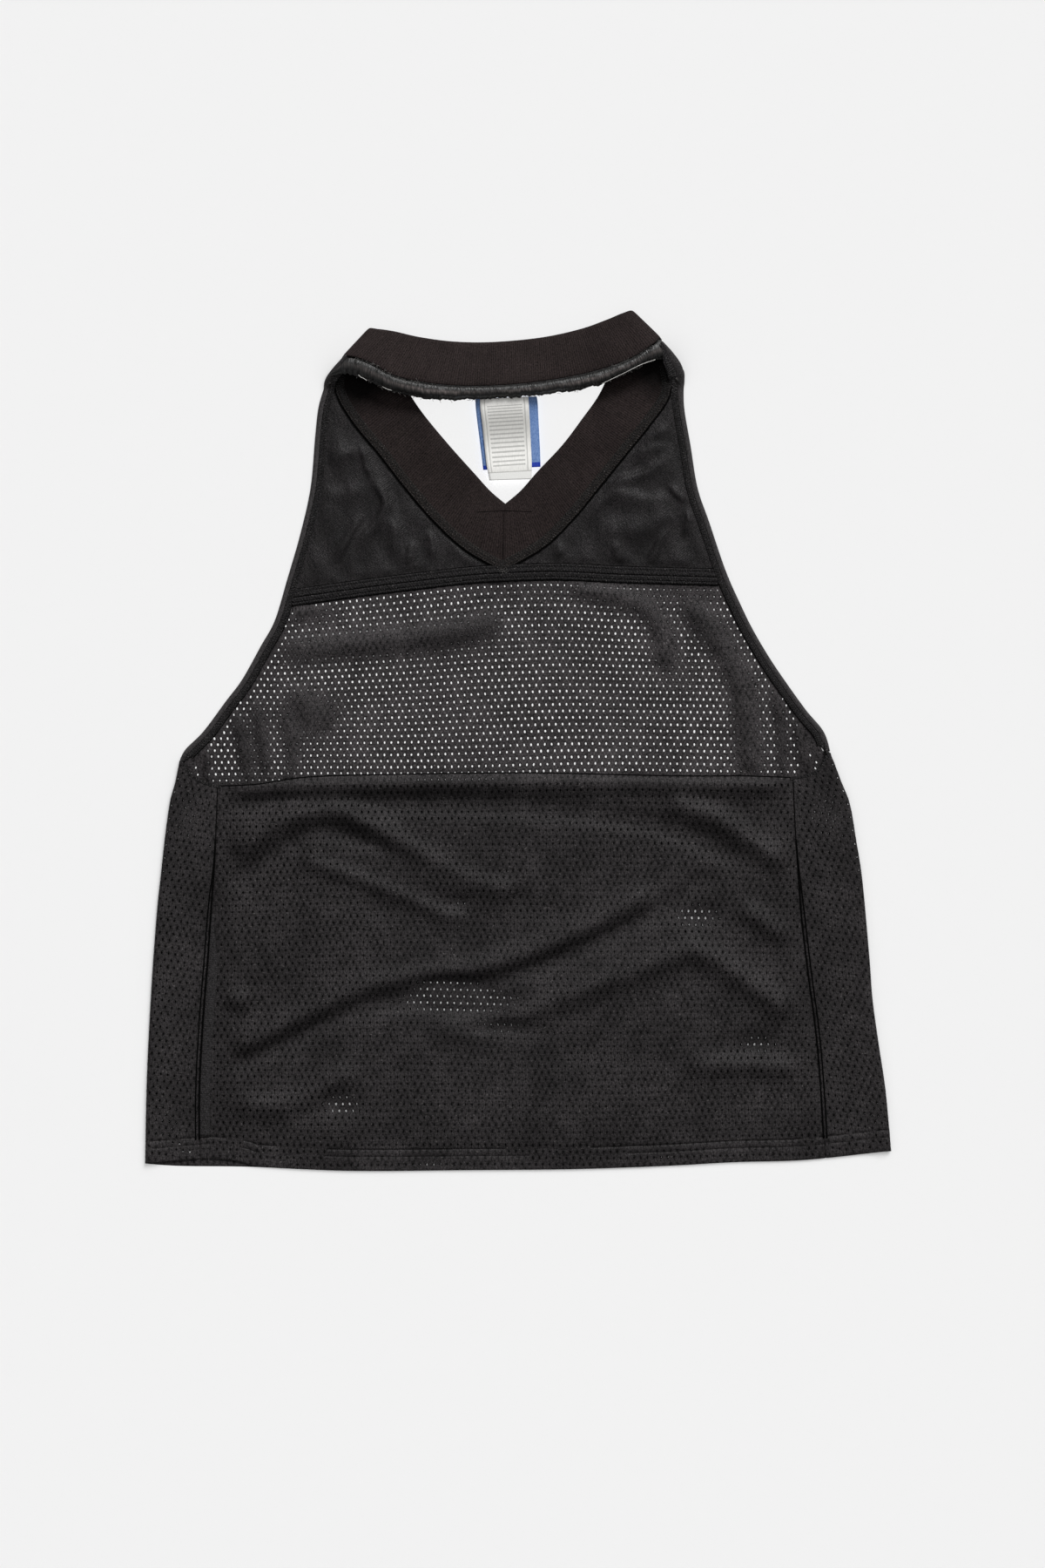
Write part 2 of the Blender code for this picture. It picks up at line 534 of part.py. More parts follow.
def label(name, table, material):
    """A label: a short ribbon that hangs from the strip and comes to lie in the V."""
    left = smooth([(row[0], row[1], row[4]) for row in table], 2)
    right = smooth([(row[2], row[3], row[4]) for row in table], 2)
    rows = [[tuple(a + (b - a) * u for a, b in zip(p, q)) for u in shares(3)] for p, q in zip(left, right)]
    wall(name, rows, LABEL_WALL, material)


for old in list(bpy.data.objects):
    bpy.data.objects.remove(old)
GARMENT = bpy.data.collections.new("halter_top")
bpy.context.scene.collection.children.link(GARMENT)

MESH = cloth("athletic_mesh", srgb(47, 45, 46), 0.75)
SATIN = cloth("yoke_satin", srgb(30, 28, 29), 0.42)
RIB = cloth("neck_rib_knit", srgb(41, 37, 36), 0.85)
SIZE_TAPE = cloth("size_label_tape", srgb(110, 140, 195), 0.55)
CARE_TAPE = cloth("care_label_tape", srgb(228, 227, 223), 0.45)

front_body()
back_body()
side_panel("side_panel_left", -1)
side_panel("side_panel_right", 1)
yoke("yoke_left", -1)
yoke("yoke_right", 1)
neck_rib()
back_neck_strip()
yoke_seam_band()
armhole_hem("armhole_hem_left", -1)
armhole_hem("armhole_hem_right", 1)
label("size_label", SIZE_LABEL, SIZE_TAPE)
label("care_label", CARE_LABEL, CARE_TAPE)
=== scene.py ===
"""Looks of a halter top of black athletic mesh, laid flat on its front with its back up.

Plans are in millimetres, as in the CAD: +X to the right, +Y towards the neck, +Z up from the surface.
"""
import functools
import math

import bpy
import numpy as np
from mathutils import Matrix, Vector
from mathutils.geometry import delaunay_2d_cdt


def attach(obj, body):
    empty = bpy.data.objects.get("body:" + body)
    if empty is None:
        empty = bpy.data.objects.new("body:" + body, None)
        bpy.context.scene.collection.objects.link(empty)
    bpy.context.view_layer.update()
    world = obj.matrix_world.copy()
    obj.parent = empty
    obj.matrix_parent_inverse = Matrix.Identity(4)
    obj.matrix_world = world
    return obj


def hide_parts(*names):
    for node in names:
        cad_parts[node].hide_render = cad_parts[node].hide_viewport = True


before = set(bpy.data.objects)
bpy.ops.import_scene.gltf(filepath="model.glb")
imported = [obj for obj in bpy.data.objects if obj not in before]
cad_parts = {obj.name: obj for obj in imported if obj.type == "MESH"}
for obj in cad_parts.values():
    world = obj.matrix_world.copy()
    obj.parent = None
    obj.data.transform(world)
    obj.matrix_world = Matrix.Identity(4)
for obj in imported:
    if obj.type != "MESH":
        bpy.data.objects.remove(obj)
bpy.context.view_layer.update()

MM = 0.001
PLAN_CENTRE = np.array((0.25, 0.23))
LEFT, RIGHT = -1, 1                  # sides as in the photo
NAMES = {LEFT: "left", RIGHT: "right"}
RANDOM = np.random.default_rng(11)

# ---- Outlines seen from above, in millimetres: (x, y) -----------------------------------------------------
SIDE_LEFT = ((-239.5, -271.5), (-238.5, -220), (-235.5, -160.5), (-232, -111.5), (-229.5, -87.5),
             (-226.5, -60), (-223.5, -39), (-220, -26), (-217.5, -13))
SIDE_RIGHT = ((240, -263), (236.5, -225), (232, -195), (228, -166), (226, -139.5),
              (221.5, -90), (217.5, -63.5), (213.5, -40.5), (207.5, -25), (201, -7.5))
ARMHOLE_LEFT = ((-217.5, -13), (-213.5, -5.5), (-202, 6), (-187.5, 25.5), (-177, 39.5),
                (-165, 61), (-156, 77.5), (-148, 104), (-139.5, 133.5), (-133, 163),
                (-130, 196.5), (-128, 214), (-124.5, 226.5))
ARMHOLE_RIGHT = ((201, -7.5), (196.5, 6), (185, 20), (171, 39.5), (161, 54.5), (150.5, 72.5),
                 (142, 90), (133.5, 109.5), (123, 140.5), (115.5, 162.5), (111, 189.5),
                 (107, 213), (106.5, 226.5))
BACK_TOP = ((-193, -29.5), (-168.5, -28.5), (-152.5, -26), (-131.5, -23.5), (-81, -22), (3, -21),
            (76, -22.5), (115, -23), (146, -23), (177, -24))
SIDE_TOP_LEFT = ((-193, -29.5), (-204, -26), (-211, -21), (-215.1, -14))
SIDE_TOP_RIGHT = ((177, -24), (189, -21.5), (195.5, -16), (198.6, -9))
BACK_SEAM_LEFT = ((-206, -268.2), (-206, -225), (-204, -184.5), (-200.5, -139.5), (-198, -106),
                  (-195, -75.5), (-193, -29.5))
BACK_SEAM_RIGHT = ((198.5, -267), (195.5, -218), (192.5, -184.5), (188, -151), (184, -117.5),
                   (180.5, -83.5), (178.5, -58), (177, -24))
FRONT_SEAM_LEFT = ((-209, -273.2), (-207.5, -167.5), (-204.5, -83.5), (-202.5, -25), (-202, 6))
FRONT_SEAM_RIGHT = ((197, -267.8), (192.5, -167.5), (188, -83.5), (184.5, -22), (185, 20))
HEM_FRONT = ((-239.5, -271.5), (-217, -273), (-174, -273.5), (-109.5, -276), (-23, -275.5),
             (34, -275), (92.5, -273), (138.5, -270.5), (185, -269), (240, -263))
HEM_BACK = ((-239.5, -271), (-220, -269.5), (-201, -268), (-189, -268.5), (-176, -270.5),
            (-165.5, -273)) + HEM_FRONT[3:]
YOKE_SEAM = ((-151.8, 91), (-120, 95.5), (-87, 100), (-36, 106), (-10, 107.8), (25.5, 108.8),
             (66, 107), (100, 106), (135.5, 105))

# ---- Neck band. Columns: inner x, y, z, outer x, y, z ------------------------------------------------------
NECK_RING = np.array((
    (-8, 152.5, 0.8, -10, 109.5, 0.8),
    (-17.5, 160.5, 0.8, -33, 122.5, 0.8),
    (-27.5, 171.5, 0.8, -53, 140.5, 0.8),
    (-44.5, 190.5, 0.8, -72, 162.5, 0.8),
    (-61, 210.5, 0.8, -89, 184.5, 0.8),
    (-72, 227, 0.8, -104, 202.5, 0.8),
    (-81.5, 242.5, 0.9, -115, 220, 0.9),
    (-89, 256, 1.4, -117, 232, 1.6),
    (-95, 264.3, 4.2, -113, 244.5, 7),
    (-89.5, 264, 7, -108, 246, 12.6),
    (-79, 262.5, 7, -95.5, 242, 14.4),
    (-63, 259, 5.8, -77.5, 232.8, 13.4),
    (-41.5, 256.3, 4.6, -48.5, 227.8, 11.6),
    (-16.5, 256, 4, -16.5, 227.3, 10.6),
    (14.5, 258.8, 4.4, 15.5, 230, 11),
    (39.5, 264, 5.4, 48, 236, 12.6),
    (56.5, 269.8, 6.6, 71.5, 244, 14),
    (67.5, 274.3, 7, 86.5, 253.5, 13),
    (73.3, 275.6, 4.2, 92, 257, 7.4),
    (69.5, 266, 1.4, 97, 238, 1.6),
    (61, 242.5, 0.9, 97, 221.5, 0.9),
    (52.5, 223, 0.8, 84.5, 203, 0.8),
    (41, 206.5, 0.8, 69.5, 184.5, 0.8),
    (28.5, 190, 0.8, 54.5, 166, 0.8),
    (13, 173.5, 0.8, 36.5, 144, 0.8),
    (2, 161, 0.8, 16.5, 124.5, 0.8),
    (-8, 152.5, 0.8, -10, 109.5, 0.8),
))
# Strip of satin under the back of the band. Columns: ring station, lower edge x, y, z.
STRIP = np.array((
    (7, -124.3, 227.2, 1.2),
    (8, -123, 232.5, 4.4),
    (9, -117.5, 234.5, 8.6),
    (10, -103.5, 233.5, 11),
    (11, -80, 223.5, 10.2),
    (12, -50, 218.5, 8.4),
    (13, -16.5, 219.5, 7.4),
    (14, 13, 221.5, 7.8),
    (15, 45.5, 226, 9.2),
    (16, 68, 234.5, 10.8),
    (17, 91, 244.5, 9),
    (18, 106, 238.8, 4.6),
    (19, 106.3, 227.2, 1.2),
))

# ---- Labels. Columns: left x, y, right x, y, height --------------------------------------------------------
SIZE_LABEL = np.array((
    (-27.2, 219.6, 12.2, 221, 4.6),
    (-27, 214, 12.8, 217, 3.7),
    (-26, 205, 13.2, 208.5, 2.7),
    (-24.6, 194, 13.8, 197, 2.5),
    (-23, 181, 14.4, 184, 2.5),
    (-22.2, 174, 14.6, 176, 2.6),
))
CARE_LABEL = np.array((
    (-24.2, 219.2, 6.8, 220.8, 6),
    (-24, 213, 7.2, 215, 5.1),
    (-22.8, 203, 7.8, 205, 4.1),
    (-21.4, 190, 8.4, 192, 3.9),
    (-19.8, 176, 9, 178, 4),
    (-18.2, 167.2, 8.8, 168, 3.9),
))

# ---- Folds, in millimetres. Columns: height (minus for a crease), half width, line ------------------------
BACK_LOFT = 2.4                      # height at which the middle of the back floats over the front
BACK_LOFT_EDGE = 34.0                # distance over which it settles towards hem and sides
SIDE_STRIP = 24.0                    # width along each side edge that stays settled
SIDE_SWELL = (2.0, 12.0)             # height and half width of the roll along each side edge
CREASE_SOFTNESS = 0.3                # square of the height over which a crease flattens out
HEM_FADE, HEM_FADE_START = 22.0, -6.0    # distance over which the folds grow from a little below the hem
BACK_FOLDS_FACTOR = 1.55             # the back's folds are that much higher than the table says
YOKE_CREASES_FACTOR = 2.6
FRONT_OVER_PAPER = 0.22              # heights of cloth over what lies under it
BACK_OVER_FRONT = 1.55
PRESSED_OVER_FRONT = 0.85            # where both layers are pressed together
BACK_FOLDS = (
    (2.6, 6.5, ((-190, -33), (-120, -29), (0, -27), (110, -28), (176, -30))),
    (-1.9, 7, ((-189, -38), (-120, -39), (6, -43), (79, -52), (115, -63), (146, -80))),
    (3, 7.5, ((90, -38), (125, -49), (152, -66), (176, -84))),
    (3.6, 8.5, ((-186, -76), (-157, -53), (-121, -43), (-96, -54), (-67, -73), (-30, -94), (6, -100))),
    (-2, 6.5, ((-188, -97), (-150, -70), (-125, -58), (-89, -66), (-59, -80), (-23, -98), (13, -102))),
    (1.6, 5.5, ((-143, -75), (-110, -86), (-70, -102), (-30, -118))),
    (-2, 6, ((-188, -212), (-140, -190), (-96, -170), (-48, -164), (6, -148), (54, -128), (97, -106),
             (130, -80))),
    (2.8, 7.5, ((-186, -200), (-140, -177), (-96, -157), (-46, -151), (6, -136), (50, -116), (90, -94))),
    (2.8, 8, ((-58, -184), (-28, -184), (8, -172), (62, -153), (98, -139), (116, -136), (146, -154),
              (180, -178))),
    (2.4, 7, ((137, -104), (160, -118), (178, -134))),
    (2.2, 7.5, ((-188, -234), (-140, -232), (-102, -206))),
    (2.2, 7.5, ((104, -210), (145, -208), (186, -212))),
    (1.8, 6, ((-190, -165), (-170, -168))),
)
FRONT_FOLDS = (
    (3, 7.5, ((-156, 56), (-109, 61), (-64, 66), (-28, 72), (-6, 79))),
    (1.8, 6, ((-150, 82), (-136, 86), (-120, 90))),
    (2.2, 9, ((-150, 34), (-140, 26), (-128, 15), (-114, 7))),
    (2.6, 6.5, ((30, 100), (60, 93), (84, 84), (94, 65), (96, 42))),
    (3, 7.5, ((104, 92), (119, 76), (132, 60), (143, 34), (148, 0), (152, -26))),
    (2.6, 3.2, ((163, 40), (167, 26), (170, 0), (170.5, -26))),
    (2.2, 2.4, ((177, 22), (180, 10), (185, -24))),
    (2.2, 2.4, ((-199, 12), (-200, -4), (-198.5, -28))),
    (2.6, 4, ((-184, 24), (-178, 2), (-173, -28))),
    (2.2, 4, ((-170, 30), (-164, 4), (-161, -28))),
    (2.2, 4.5, ((-151, 20), (-145, 2), (-146, -28))),
)
# Narrow creases of the satin. Columns: height, half width, line, lean (plus for a steeper right side).
YOKE_CREASES = (
    (0.75, 3.2, ((-95, 172), (-91, 165), (-85, 153), (-89, 143), (-99.5, 129.8), (-103, 120)), 0.7),
    (0.65, 3, ((-98, 150), (-100.4, 145), (-106, 136), (-116, 118), (-121, 111)), -0.6),
    (0.55, 2.6, ((-66, 130), (-68.5, 124.7), (-71, 112)), 0.6),
    (0.6, 2.6, ((-57, 137), (-55.9, 131), (-53.4, 115)), -0.6),
    (0.5, 3, ((-101, 194), (-99, 185), (-97, 176), (-92, 166)), 0.6),
    (0.5, 3, ((-45, 134), (-40, 126), (-30, 114)), 0.5),
    (0.45, 4.5, ((-124, 178), (-112, 184), (-98, 187)), 0.2),
    (0.45, 5, ((-128, 160), (-112, 158), (-98, 166)), -0.3),
    (0.5, 4.5, ((-84, 146), (-78, 132), (-82, 114)), 0.3),
    (0.7, 3.4, ((50, 160), (62, 166), (82, 172), (92, 180), (95, 190)), -0.7),
    (0.7, 5.5, ((36, 146), (60, 158), (84, 154), (104, 158)), -0.5),
    (0.7, 2.6, ((96, 166), (101, 160), (111, 152)), 0.6),
    (0.65, 2.6, ((112, 150), (110, 143), (106, 130)), 0.6),
    (0.75, 3, ((97, 139), (91, 128), (83, 111)), 0.7),
    (0.6, 3.2, ((60, 130), (63, 124), (68, 112)), 0.5),
    (0.5, 2.8, ((24, 130), (27, 124), (28, 117)), -0.5),
    (0.9, 8, ((48, 140), (66, 136), (84, 138), (102, 152)), 0.3),
    (0.5, 3.6, ((78, 192), (90, 198), (100, 202)), -0.4),
    (0.5, 4, ((70, 180), (84, 187), (100, 190)), -0.4),
)

# ---- The net of eyelets ------------------------------------------------------------------------------------
PITCH = np.array((4.32, 4.26))       # across, and from row to row; every other row is shifted by half a pitch
NET_ORIGIN = np.array((-17.4, -20))
CORNERS = np.array(((-1, -1), (0, -1), (1, -1), (1, 0), (1, 1), (0, 1), (-1, 1), (-1, 0)))    # in half pitches
EYELET = np.array((0.58, 0.88))      # half width and half height
SIZE_SPREAD, LEAN_SPREAD = 0.07, 0.10    # unevenness from eyelet to eyelet
DIMPLE = 0.13                        # depth of an eyelet's rim under the cloth around it
FILL_SPACING, EDGE_SPACING, GUIDE_SPACING = 2.1, 1.4, 1.5    # of points beside the cells, on edges, along grooves
HEM_ROWS = ((8.8, 0.5, 0.5, 1.3), (13.4, 0.75, 0.6, 1.5))   # stitches: over the hem, depth, half width, room
SEAM_SPLIT = -62.0                   # y under which the two lines of a back seam's stitches part
# Where back and front lie pressed together with eyelet over eyelet. Columns: x, y, half width, half height, share
PRESSED = (
    (-36, -166.8, 36, 9.5, 1.6), (-47, -155.5, 19, 6, 0.8), (-13, -184.5, 28, 6, 0.74),
    (-112.8, -234.4, 16, 9, 0.94), (114.5, -112.4, 17, 8.5, 0.96), (153.2, -194.7, 16, 7.5, 0.76),
    (-56.8, -272, 20, 4, 0.55), (94.4, -269.6, 9, 4, 0.6), (-37, -103.9, 9, 5, 0.6),
    (-90, -108, 16, 9, 0.45), (40, -200, 24, 10, 0.42), (20, -108, 20, 8, 0.4),
)
# Where the front's eyelets are drawn narrow. The same columns.
NARROWED = (
    (-131, 80, 19, 8, 0.55), (-140, 15, 17, 13, 0.5), (-120, 24, 12, 9, 0.3),
    (-171, -4, 7, 20, 0.5), (110, 94, 32, 6.5, 0.5), (93, 58, 10, 20, 0.45),
    (106, 42, 12, 12, 0.3), (130, 66, 8, 14, 0.3), (148, 26, 8, 18, 0.45),
    (147, -14, 10, 16, 0.5), (-55, 60, 60, 8, 0.3), (-110, 10, 42, 26, 0.14),
    (20, 97, 110, 7, 0.22), (166, 30, 6, 12, 0.3),
)


# ---- Lines and heights -------------------------------------------------------------------------------------
def unit(vectors):
    """Vectors of length 1 in the same directions."""
    return vectors / np.maximum(np.linalg.norm(vectors, axis=-1), 1e-9)[..., None]


def smooth(points, steps=12):
    """Points along a smooth curve through the given points, with steps between each two of them."""
    points = np.asarray(points, float)
    padded = np.vstack((points[:1], points, points[-1:]))
    t = (np.arange(steps) / steps)[:, None]
    line = []
    for a, b, c, d in zip(padded, padded[1:], padded[2:], padded[3:]):
        line.append(0.5 * (2 * b + (c - a) * t + (2 * a - 5 * b + 4 * c - d) * t ** 2
                           + (3 * b - a - 3 * c + d) * t ** 3))
    return np.vstack(line + [points[-1:]])


def running(line):
    """Length of a line up to each of its points."""
    return np.concatenate(([0.0], np.cumsum(np.linalg.norm(np.diff(line, axis=0), axis=1))))


def along(line, share):
    """Points at shares of a line's length."""
    total = running(line)
    target = np.clip(share, 0, 1) * total[-1]
    return np.stack([np.interp(target, total, line[:, k]) for k in range(line.shape[1])], -1)


def resample(line, spacing):
    return along(line, np.linspace(0, 1, max(2, round(running(line)[-1] / spacing) + 1)))


def span(line, low, high, axis):
    """Stretch of a line between two values of one coordinate that grows along it."""
    keys = line[:, axis]
    ends = [np.array([[np.interp(v, keys, line[:, k]) for k in range(line.shape[1])]]) for v in (low, high)]
    return np.vstack((ends[0], line[(keys > low) & (keys < high)], ends[1]))


def nearest(line, points):
    """Distance of points from a line, plus on its left side, and the run of the line up to the nearest place."""
    best, side, run = np.full(len(points), np.inf), np.ones(len(points)), np.zeros(len(points))
    for a, b, start in zip(line[:-1], line[1:], running(line)):
        d = b - a
        if d @ d < 1e-12:
            continue
        t = np.clip((points - a) @ d / (d @ d), 0, 1)
        off = points - a - t[:, None] * d
        r = np.hypot(off[:, 0], off[:, 1])
        near = r < best
        best = np.where(near, r, best)
        side = np.where(near, np.sign(d[0] * off[:, 1] - d[1] * off[:, 0]), side)
        run = np.where(near, start + t * np.sqrt(d @ d), run)
    return best * side, run


def distance(line, points):
    """Distance of points from a line."""
    return np.abs(nearest(line, points)[0])


def clear_of(points, *edges):
    """Whether points lie farther from each line than its reach. An edge is (line, reach)."""
    return np.all([distance(line, points) > reach for line, reach in edges], axis=0)


def offset(line, reach):
    """The line moved to its left by reach."""
    d = unit(np.gradient(line, axis=0))
    return line + np.stack((-d[:, 1], d[:, 0]), -1) * reach


def ease(value):
    """Smooth step from 0 to 1."""
    value = np.clip(value, 0.0, 1.0)
    return value * value * (3 - 2 * value)


def folds_height(folds, points):
    """Sum of folds, each fading out towards both of its ends."""
    total = np.zeros(len(points))
    for height, width, line, *lean in folds:
        line = smooth(line, 4)
        low, high = line.min(0) - 3.5 * width, line.max(0) + 3.5 * width
        some = np.flatnonzero(((points > low) & (points < high)).all(1))
        reach, run = nearest(line, points[some])
        long = running(line)[-1]
        fade = ease(np.minimum(run, long - run) / min(16.0, 0.35 * long))
        wide = width * (1 + 0.5 * (lean[0] if lean else 0.0) * np.tanh(reach / width))
        total[some] += height * fade * np.exp(-(reach / wide) ** 2)
    return total


SIDE_LINES = {LEFT: smooth(SIDE_LEFT), RIGHT: smooth(SIDE_RIGHT)}
ARMHOLES = {LEFT: smooth(ARMHOLE_LEFT), RIGHT: smooth(ARMHOLE_RIGHT)}
BACK_SEAMS = {LEFT: smooth(BACK_SEAM_LEFT), RIGHT: smooth(BACK_SEAM_RIGHT)}
FRONT_SEAMS = {LEFT: smooth(FRONT_SEAM_LEFT), RIGHT: smooth(FRONT_SEAM_RIGHT)}
SIDE_TOPS = {LEFT: smooth(SIDE_TOP_LEFT), RIGHT: smooth(SIDE_TOP_RIGHT)}
HEM_FRONT_LINE, HEM_BACK_LINE = smooth(HEM_FRONT), smooth(HEM_BACK)
BACK_TOP_LINE, YOKE_SEAM_LINE = smooth(BACK_TOP), smooth(YOKE_SEAM)
YOKE_ENDS = {LEFT: YOKE_SEAM_LINE[0], RIGHT: YOKE_SEAM_LINE[-1]}


def spots(table, points, total, power=1):
    """total with soft oval spots added to it."""
    for x, y, rx, ry, share in table:
        total += share * np.exp(-(((points[:, 0] - x) / rx) ** 2 + ((points[:, 1] - y) / ry) ** 2) ** power)
    return total


def pressed(points):
    """Share by which back and front lie pressed together."""
    return np.clip(spots(PRESSED, points, np.zeros(len(points))), 0, 1)


def back_opening(points):
    """Share by which the back's eyelets stand open: the calm middle of the panel is drawn tighter."""
    x, y = points[:, 0], points[:, 1]
    calm = np.exp(-((x - 5) / 105) ** 4 - ((y + 168) / 62) ** 4)
    wave = 0.10 * np.sin(x / 19 + y / 27) + 0.08 * np.sin(x / 33 - y / 14 + 1.0)
    return np.clip(1.0 - 0.34 * calm + wave + 0.3 * pressed(points), 0.6, 1.1)


def front_opening(points):
    """Share by which the front's eyelets stand open: those on lifted cloth are drawn narrow."""
    x, y = points[:, 0], points[:, 1]
    dim = spots(NARROWED, points, 0.4 * np.exp(-((y + 29) / 6.5) ** 4), 1.5)
    dim += 0.42 * np.clip(front_lift(points) / 2.2, 0, 1)
    return np.clip(0.98 - dim + 0.06 * np.sin(x / 17 + y / 23), 0.34, 1.1)


def front_lift(points):
    """Height of the front's folds, which end at the sewn edges and under the back."""
    lift = folds_height(FRONT_FOLDS, points)
    to_hem = np.minimum(distance(ARMHOLES[LEFT], points), distance(ARMHOLES[RIGHT], points))
    lift = lift * ease((to_hem - 6.5) / 8.0)
    lift = lift * ease((distance(YOKE_SEAM_LINE, points) - 5.5) / 6.0)
    return lift * ease((points[:, 1] + 48.0) / 26.0)


def front_height(points):
    """Height of the front layer's cloth."""
    return front_lift(points) + FRONT_OVER_PAPER


def back_height(points):
    """Height of the back layer's cloth, over the front layer."""
    left, right = (np.interp(points[:, 1], SIDE_LINES[side][:, 1], SIDE_LINES[side][:, 0]) for side in NAMES)
    inset = np.minimum(points[:, 0] - left, right - points[:, 0])
    above_hem = points[:, 1] - np.interp(points[:, 0], HEM_BACK_LINE[:, 0], HEM_BACK_LINE[:, 1])
    settled = ease((inset - SIDE_STRIP) / BACK_LOFT_EDGE) * ease(above_hem / BACK_LOFT_EDGE)
    lift = BACK_LOFT * settled + BACK_FOLDS_FACTOR * folds_height(BACK_FOLDS, points)
    lift = 0.5 * (lift + np.sqrt(lift * lift + CREASE_SOFTNESS)) * ease((above_hem - HEM_FADE_START) / HEM_FADE)
    together = pressed(points)
    swell = SIDE_SWELL[0] * np.exp(-(inset / SIDE_SWELL[1]) ** 2)
    return (BACK_OVER_FRONT + lift) * (1 - together) + PRESSED_OVER_FRONT * together + front_lift(points) + swell


# ---- Meshes ------------------------------------------------------------------------------------------------
def make(name, points, faces, material, uv=None, smooth_shading=True):
    """A mesh object from points in millimetres of the plan."""
    points = np.array(points, float)
    points[:, :2] -= PLAN_CENTRE
    points *= MM
    mesh = bpy.data.meshes.new(name)
    mesh.from_pydata(points.tolist(), [], [tuple(int(i) for i in f) for f in faces])
    if smooth_shading:
        mesh.shade_smooth()
    if uv is not None:
        layer = mesh.uv_layers.new(name="cloth")
        corner = np.zeros(len(mesh.loops), np.int32)
        mesh.loops.foreach_get("vertex_index", corner)
        layer.data.foreach_set("uv", np.asarray(uv, np.float32)[corner].ravel())
    mesh.materials.append(material)
    piece = bpy.data.objects.new(name, mesh)
    bpy.context.scene.collection.objects.link(piece)
    return piece


def grid_faces(rows, columns, ring=False, tube=False):
    """Faces of a grid of points. ring joins the last row to the first, tube the last column to the first.

    A tube that is no ring is closed at both ends.
    """
    faces = []
    for i in range(rows if ring else rows - 1):
        lower, upper = i * columns, (i + 1) % rows * columns
        for j in range(columns if tube else columns - 1):
            k = (j + 1) % columns
            faces.append((lower + j, lower + k, upper + k, upper + j))
    if tube and not ring:
        faces += [tuple(range(columns))[::-1], tuple((rows - 1) * columns + k for k in range(columns))]
    return faces


def grid_uv(u, v):
    """uv of a grid's points from one value a row and one a column."""
    return np.stack(np.broadcast_arrays(u, v), -1).reshape(-1, 2)


def shifted(faces, start):
    """Faces whose points come after start others."""
    return [tuple(i + start for i in face) for face in faces]


def coons(bottom, top, left, right, share):
    """Grid of points between four lines, at the given shares both ways."""
    u, t = np.meshgrid(share, share)
    b, c, d, e = along(bottom, u), along(top, u), along(left, t), along(right, t)
    u, t = u[..., None], t[..., None]
    return ((1 - t) * b + t * c + (1 - u) * d + u * e - (1 - u) * (1 - t) * bottom[0]
            - u * (1 - t) * bottom[-1] - (1 - u) * t * top[0] - u * t * top[-1])


def inside(points, a, b):
    """Whether each point lies inside the loops whose edges run from a to b."""
    found = []
    for part in np.array_split(points, max(1, len(points) // 3000)):
        x, y = part[:, :1], part[:, 1:2]
        rise = np.where(np.abs(b[:, 1] - a[:, 1]) < 1e-12, 1e-12, b[:, 1] - a[:, 1])
        crossing = ((a[:, 1] > y) != (b[:, 1] > y)) & (x < a[:, 0] + (y - a[:, 1]) * (b[:, 0] - a[:, 0]) / rise)
        found.append(crossing.sum(1) % 2 == 1)
    return np.concatenate(found)


def whole_cells(outline, keep, warp):
    """Cells of the net that lie wholly inside the outline and that keep accepts by their centres.

    Gives the cells and the net's points in half pitches, and in the plan their centres, corners and points.
    """
    a, b = outline, np.roll(outline, -1, axis=0)
    low = np.floor((outline.min(0) - NET_ORIGIN) / PITCH).astype(int) - 2
    high = np.ceil((outline.max(0) - NET_ORIGIN) / PITCH).astype(int) + 2
    column, row = (g.ravel() for g in np.meshgrid(np.arange(low[0], high[0]), np.arange(low[1], high[1])))
    cell = np.stack((2 * column + row % 2, 2 * row), -1)
    centre = warp(NET_ORIGIN + cell * PITCH / 2)
    fits = inside(centre, a, b) & keep(centre)
    cell, centre = cell[fits], centre[fits]
    keys, corner = np.unique((cell[:, None] + CORNERS).reshape(-1, 2), axis=0, return_inverse=True)
    corner = corner.reshape(-1, 8)
    net = warp(NET_ORIGIN + keys * PITCH / 2)
    fits = inside(net, a, b)[corner].all(1)
    used, corner = np.unique(corner[fits], return_inverse=True)
    return cell[fits], keys[used], centre[fits], corner.reshape(-1, 8), net[used]


def eyelet_outlines(cell, centre, opening):
    """Eight points round each eyelet, uneven in size and lean."""
    angle = np.radians((225, 270, 315, 0, 45, 90, 135, 180))
    size = 1 + SIZE_SPREAD * RANDOM.standard_normal((len(cell), 1, 2))
    eyelet = np.stack((np.cos(angle), np.sin(angle)), -1) * EYELET * np.clip(size, 0.8, 1.2)
    eyelet *= opening(centre)[:, None, None]
    row_lean = np.where(cell[:, 1] // 2 % 2 == 0, 0.05, -0.05)
    lean = 0.06 + LEAN_SPREAD * RANDOM.standard_normal(len(cell)) + row_lean
    eyelet[:, :, 0] += lean[:, None] * eyelet[:, :, 1] * -0.6
    return (centre[:, None] + eyelet).reshape(-1, 2)


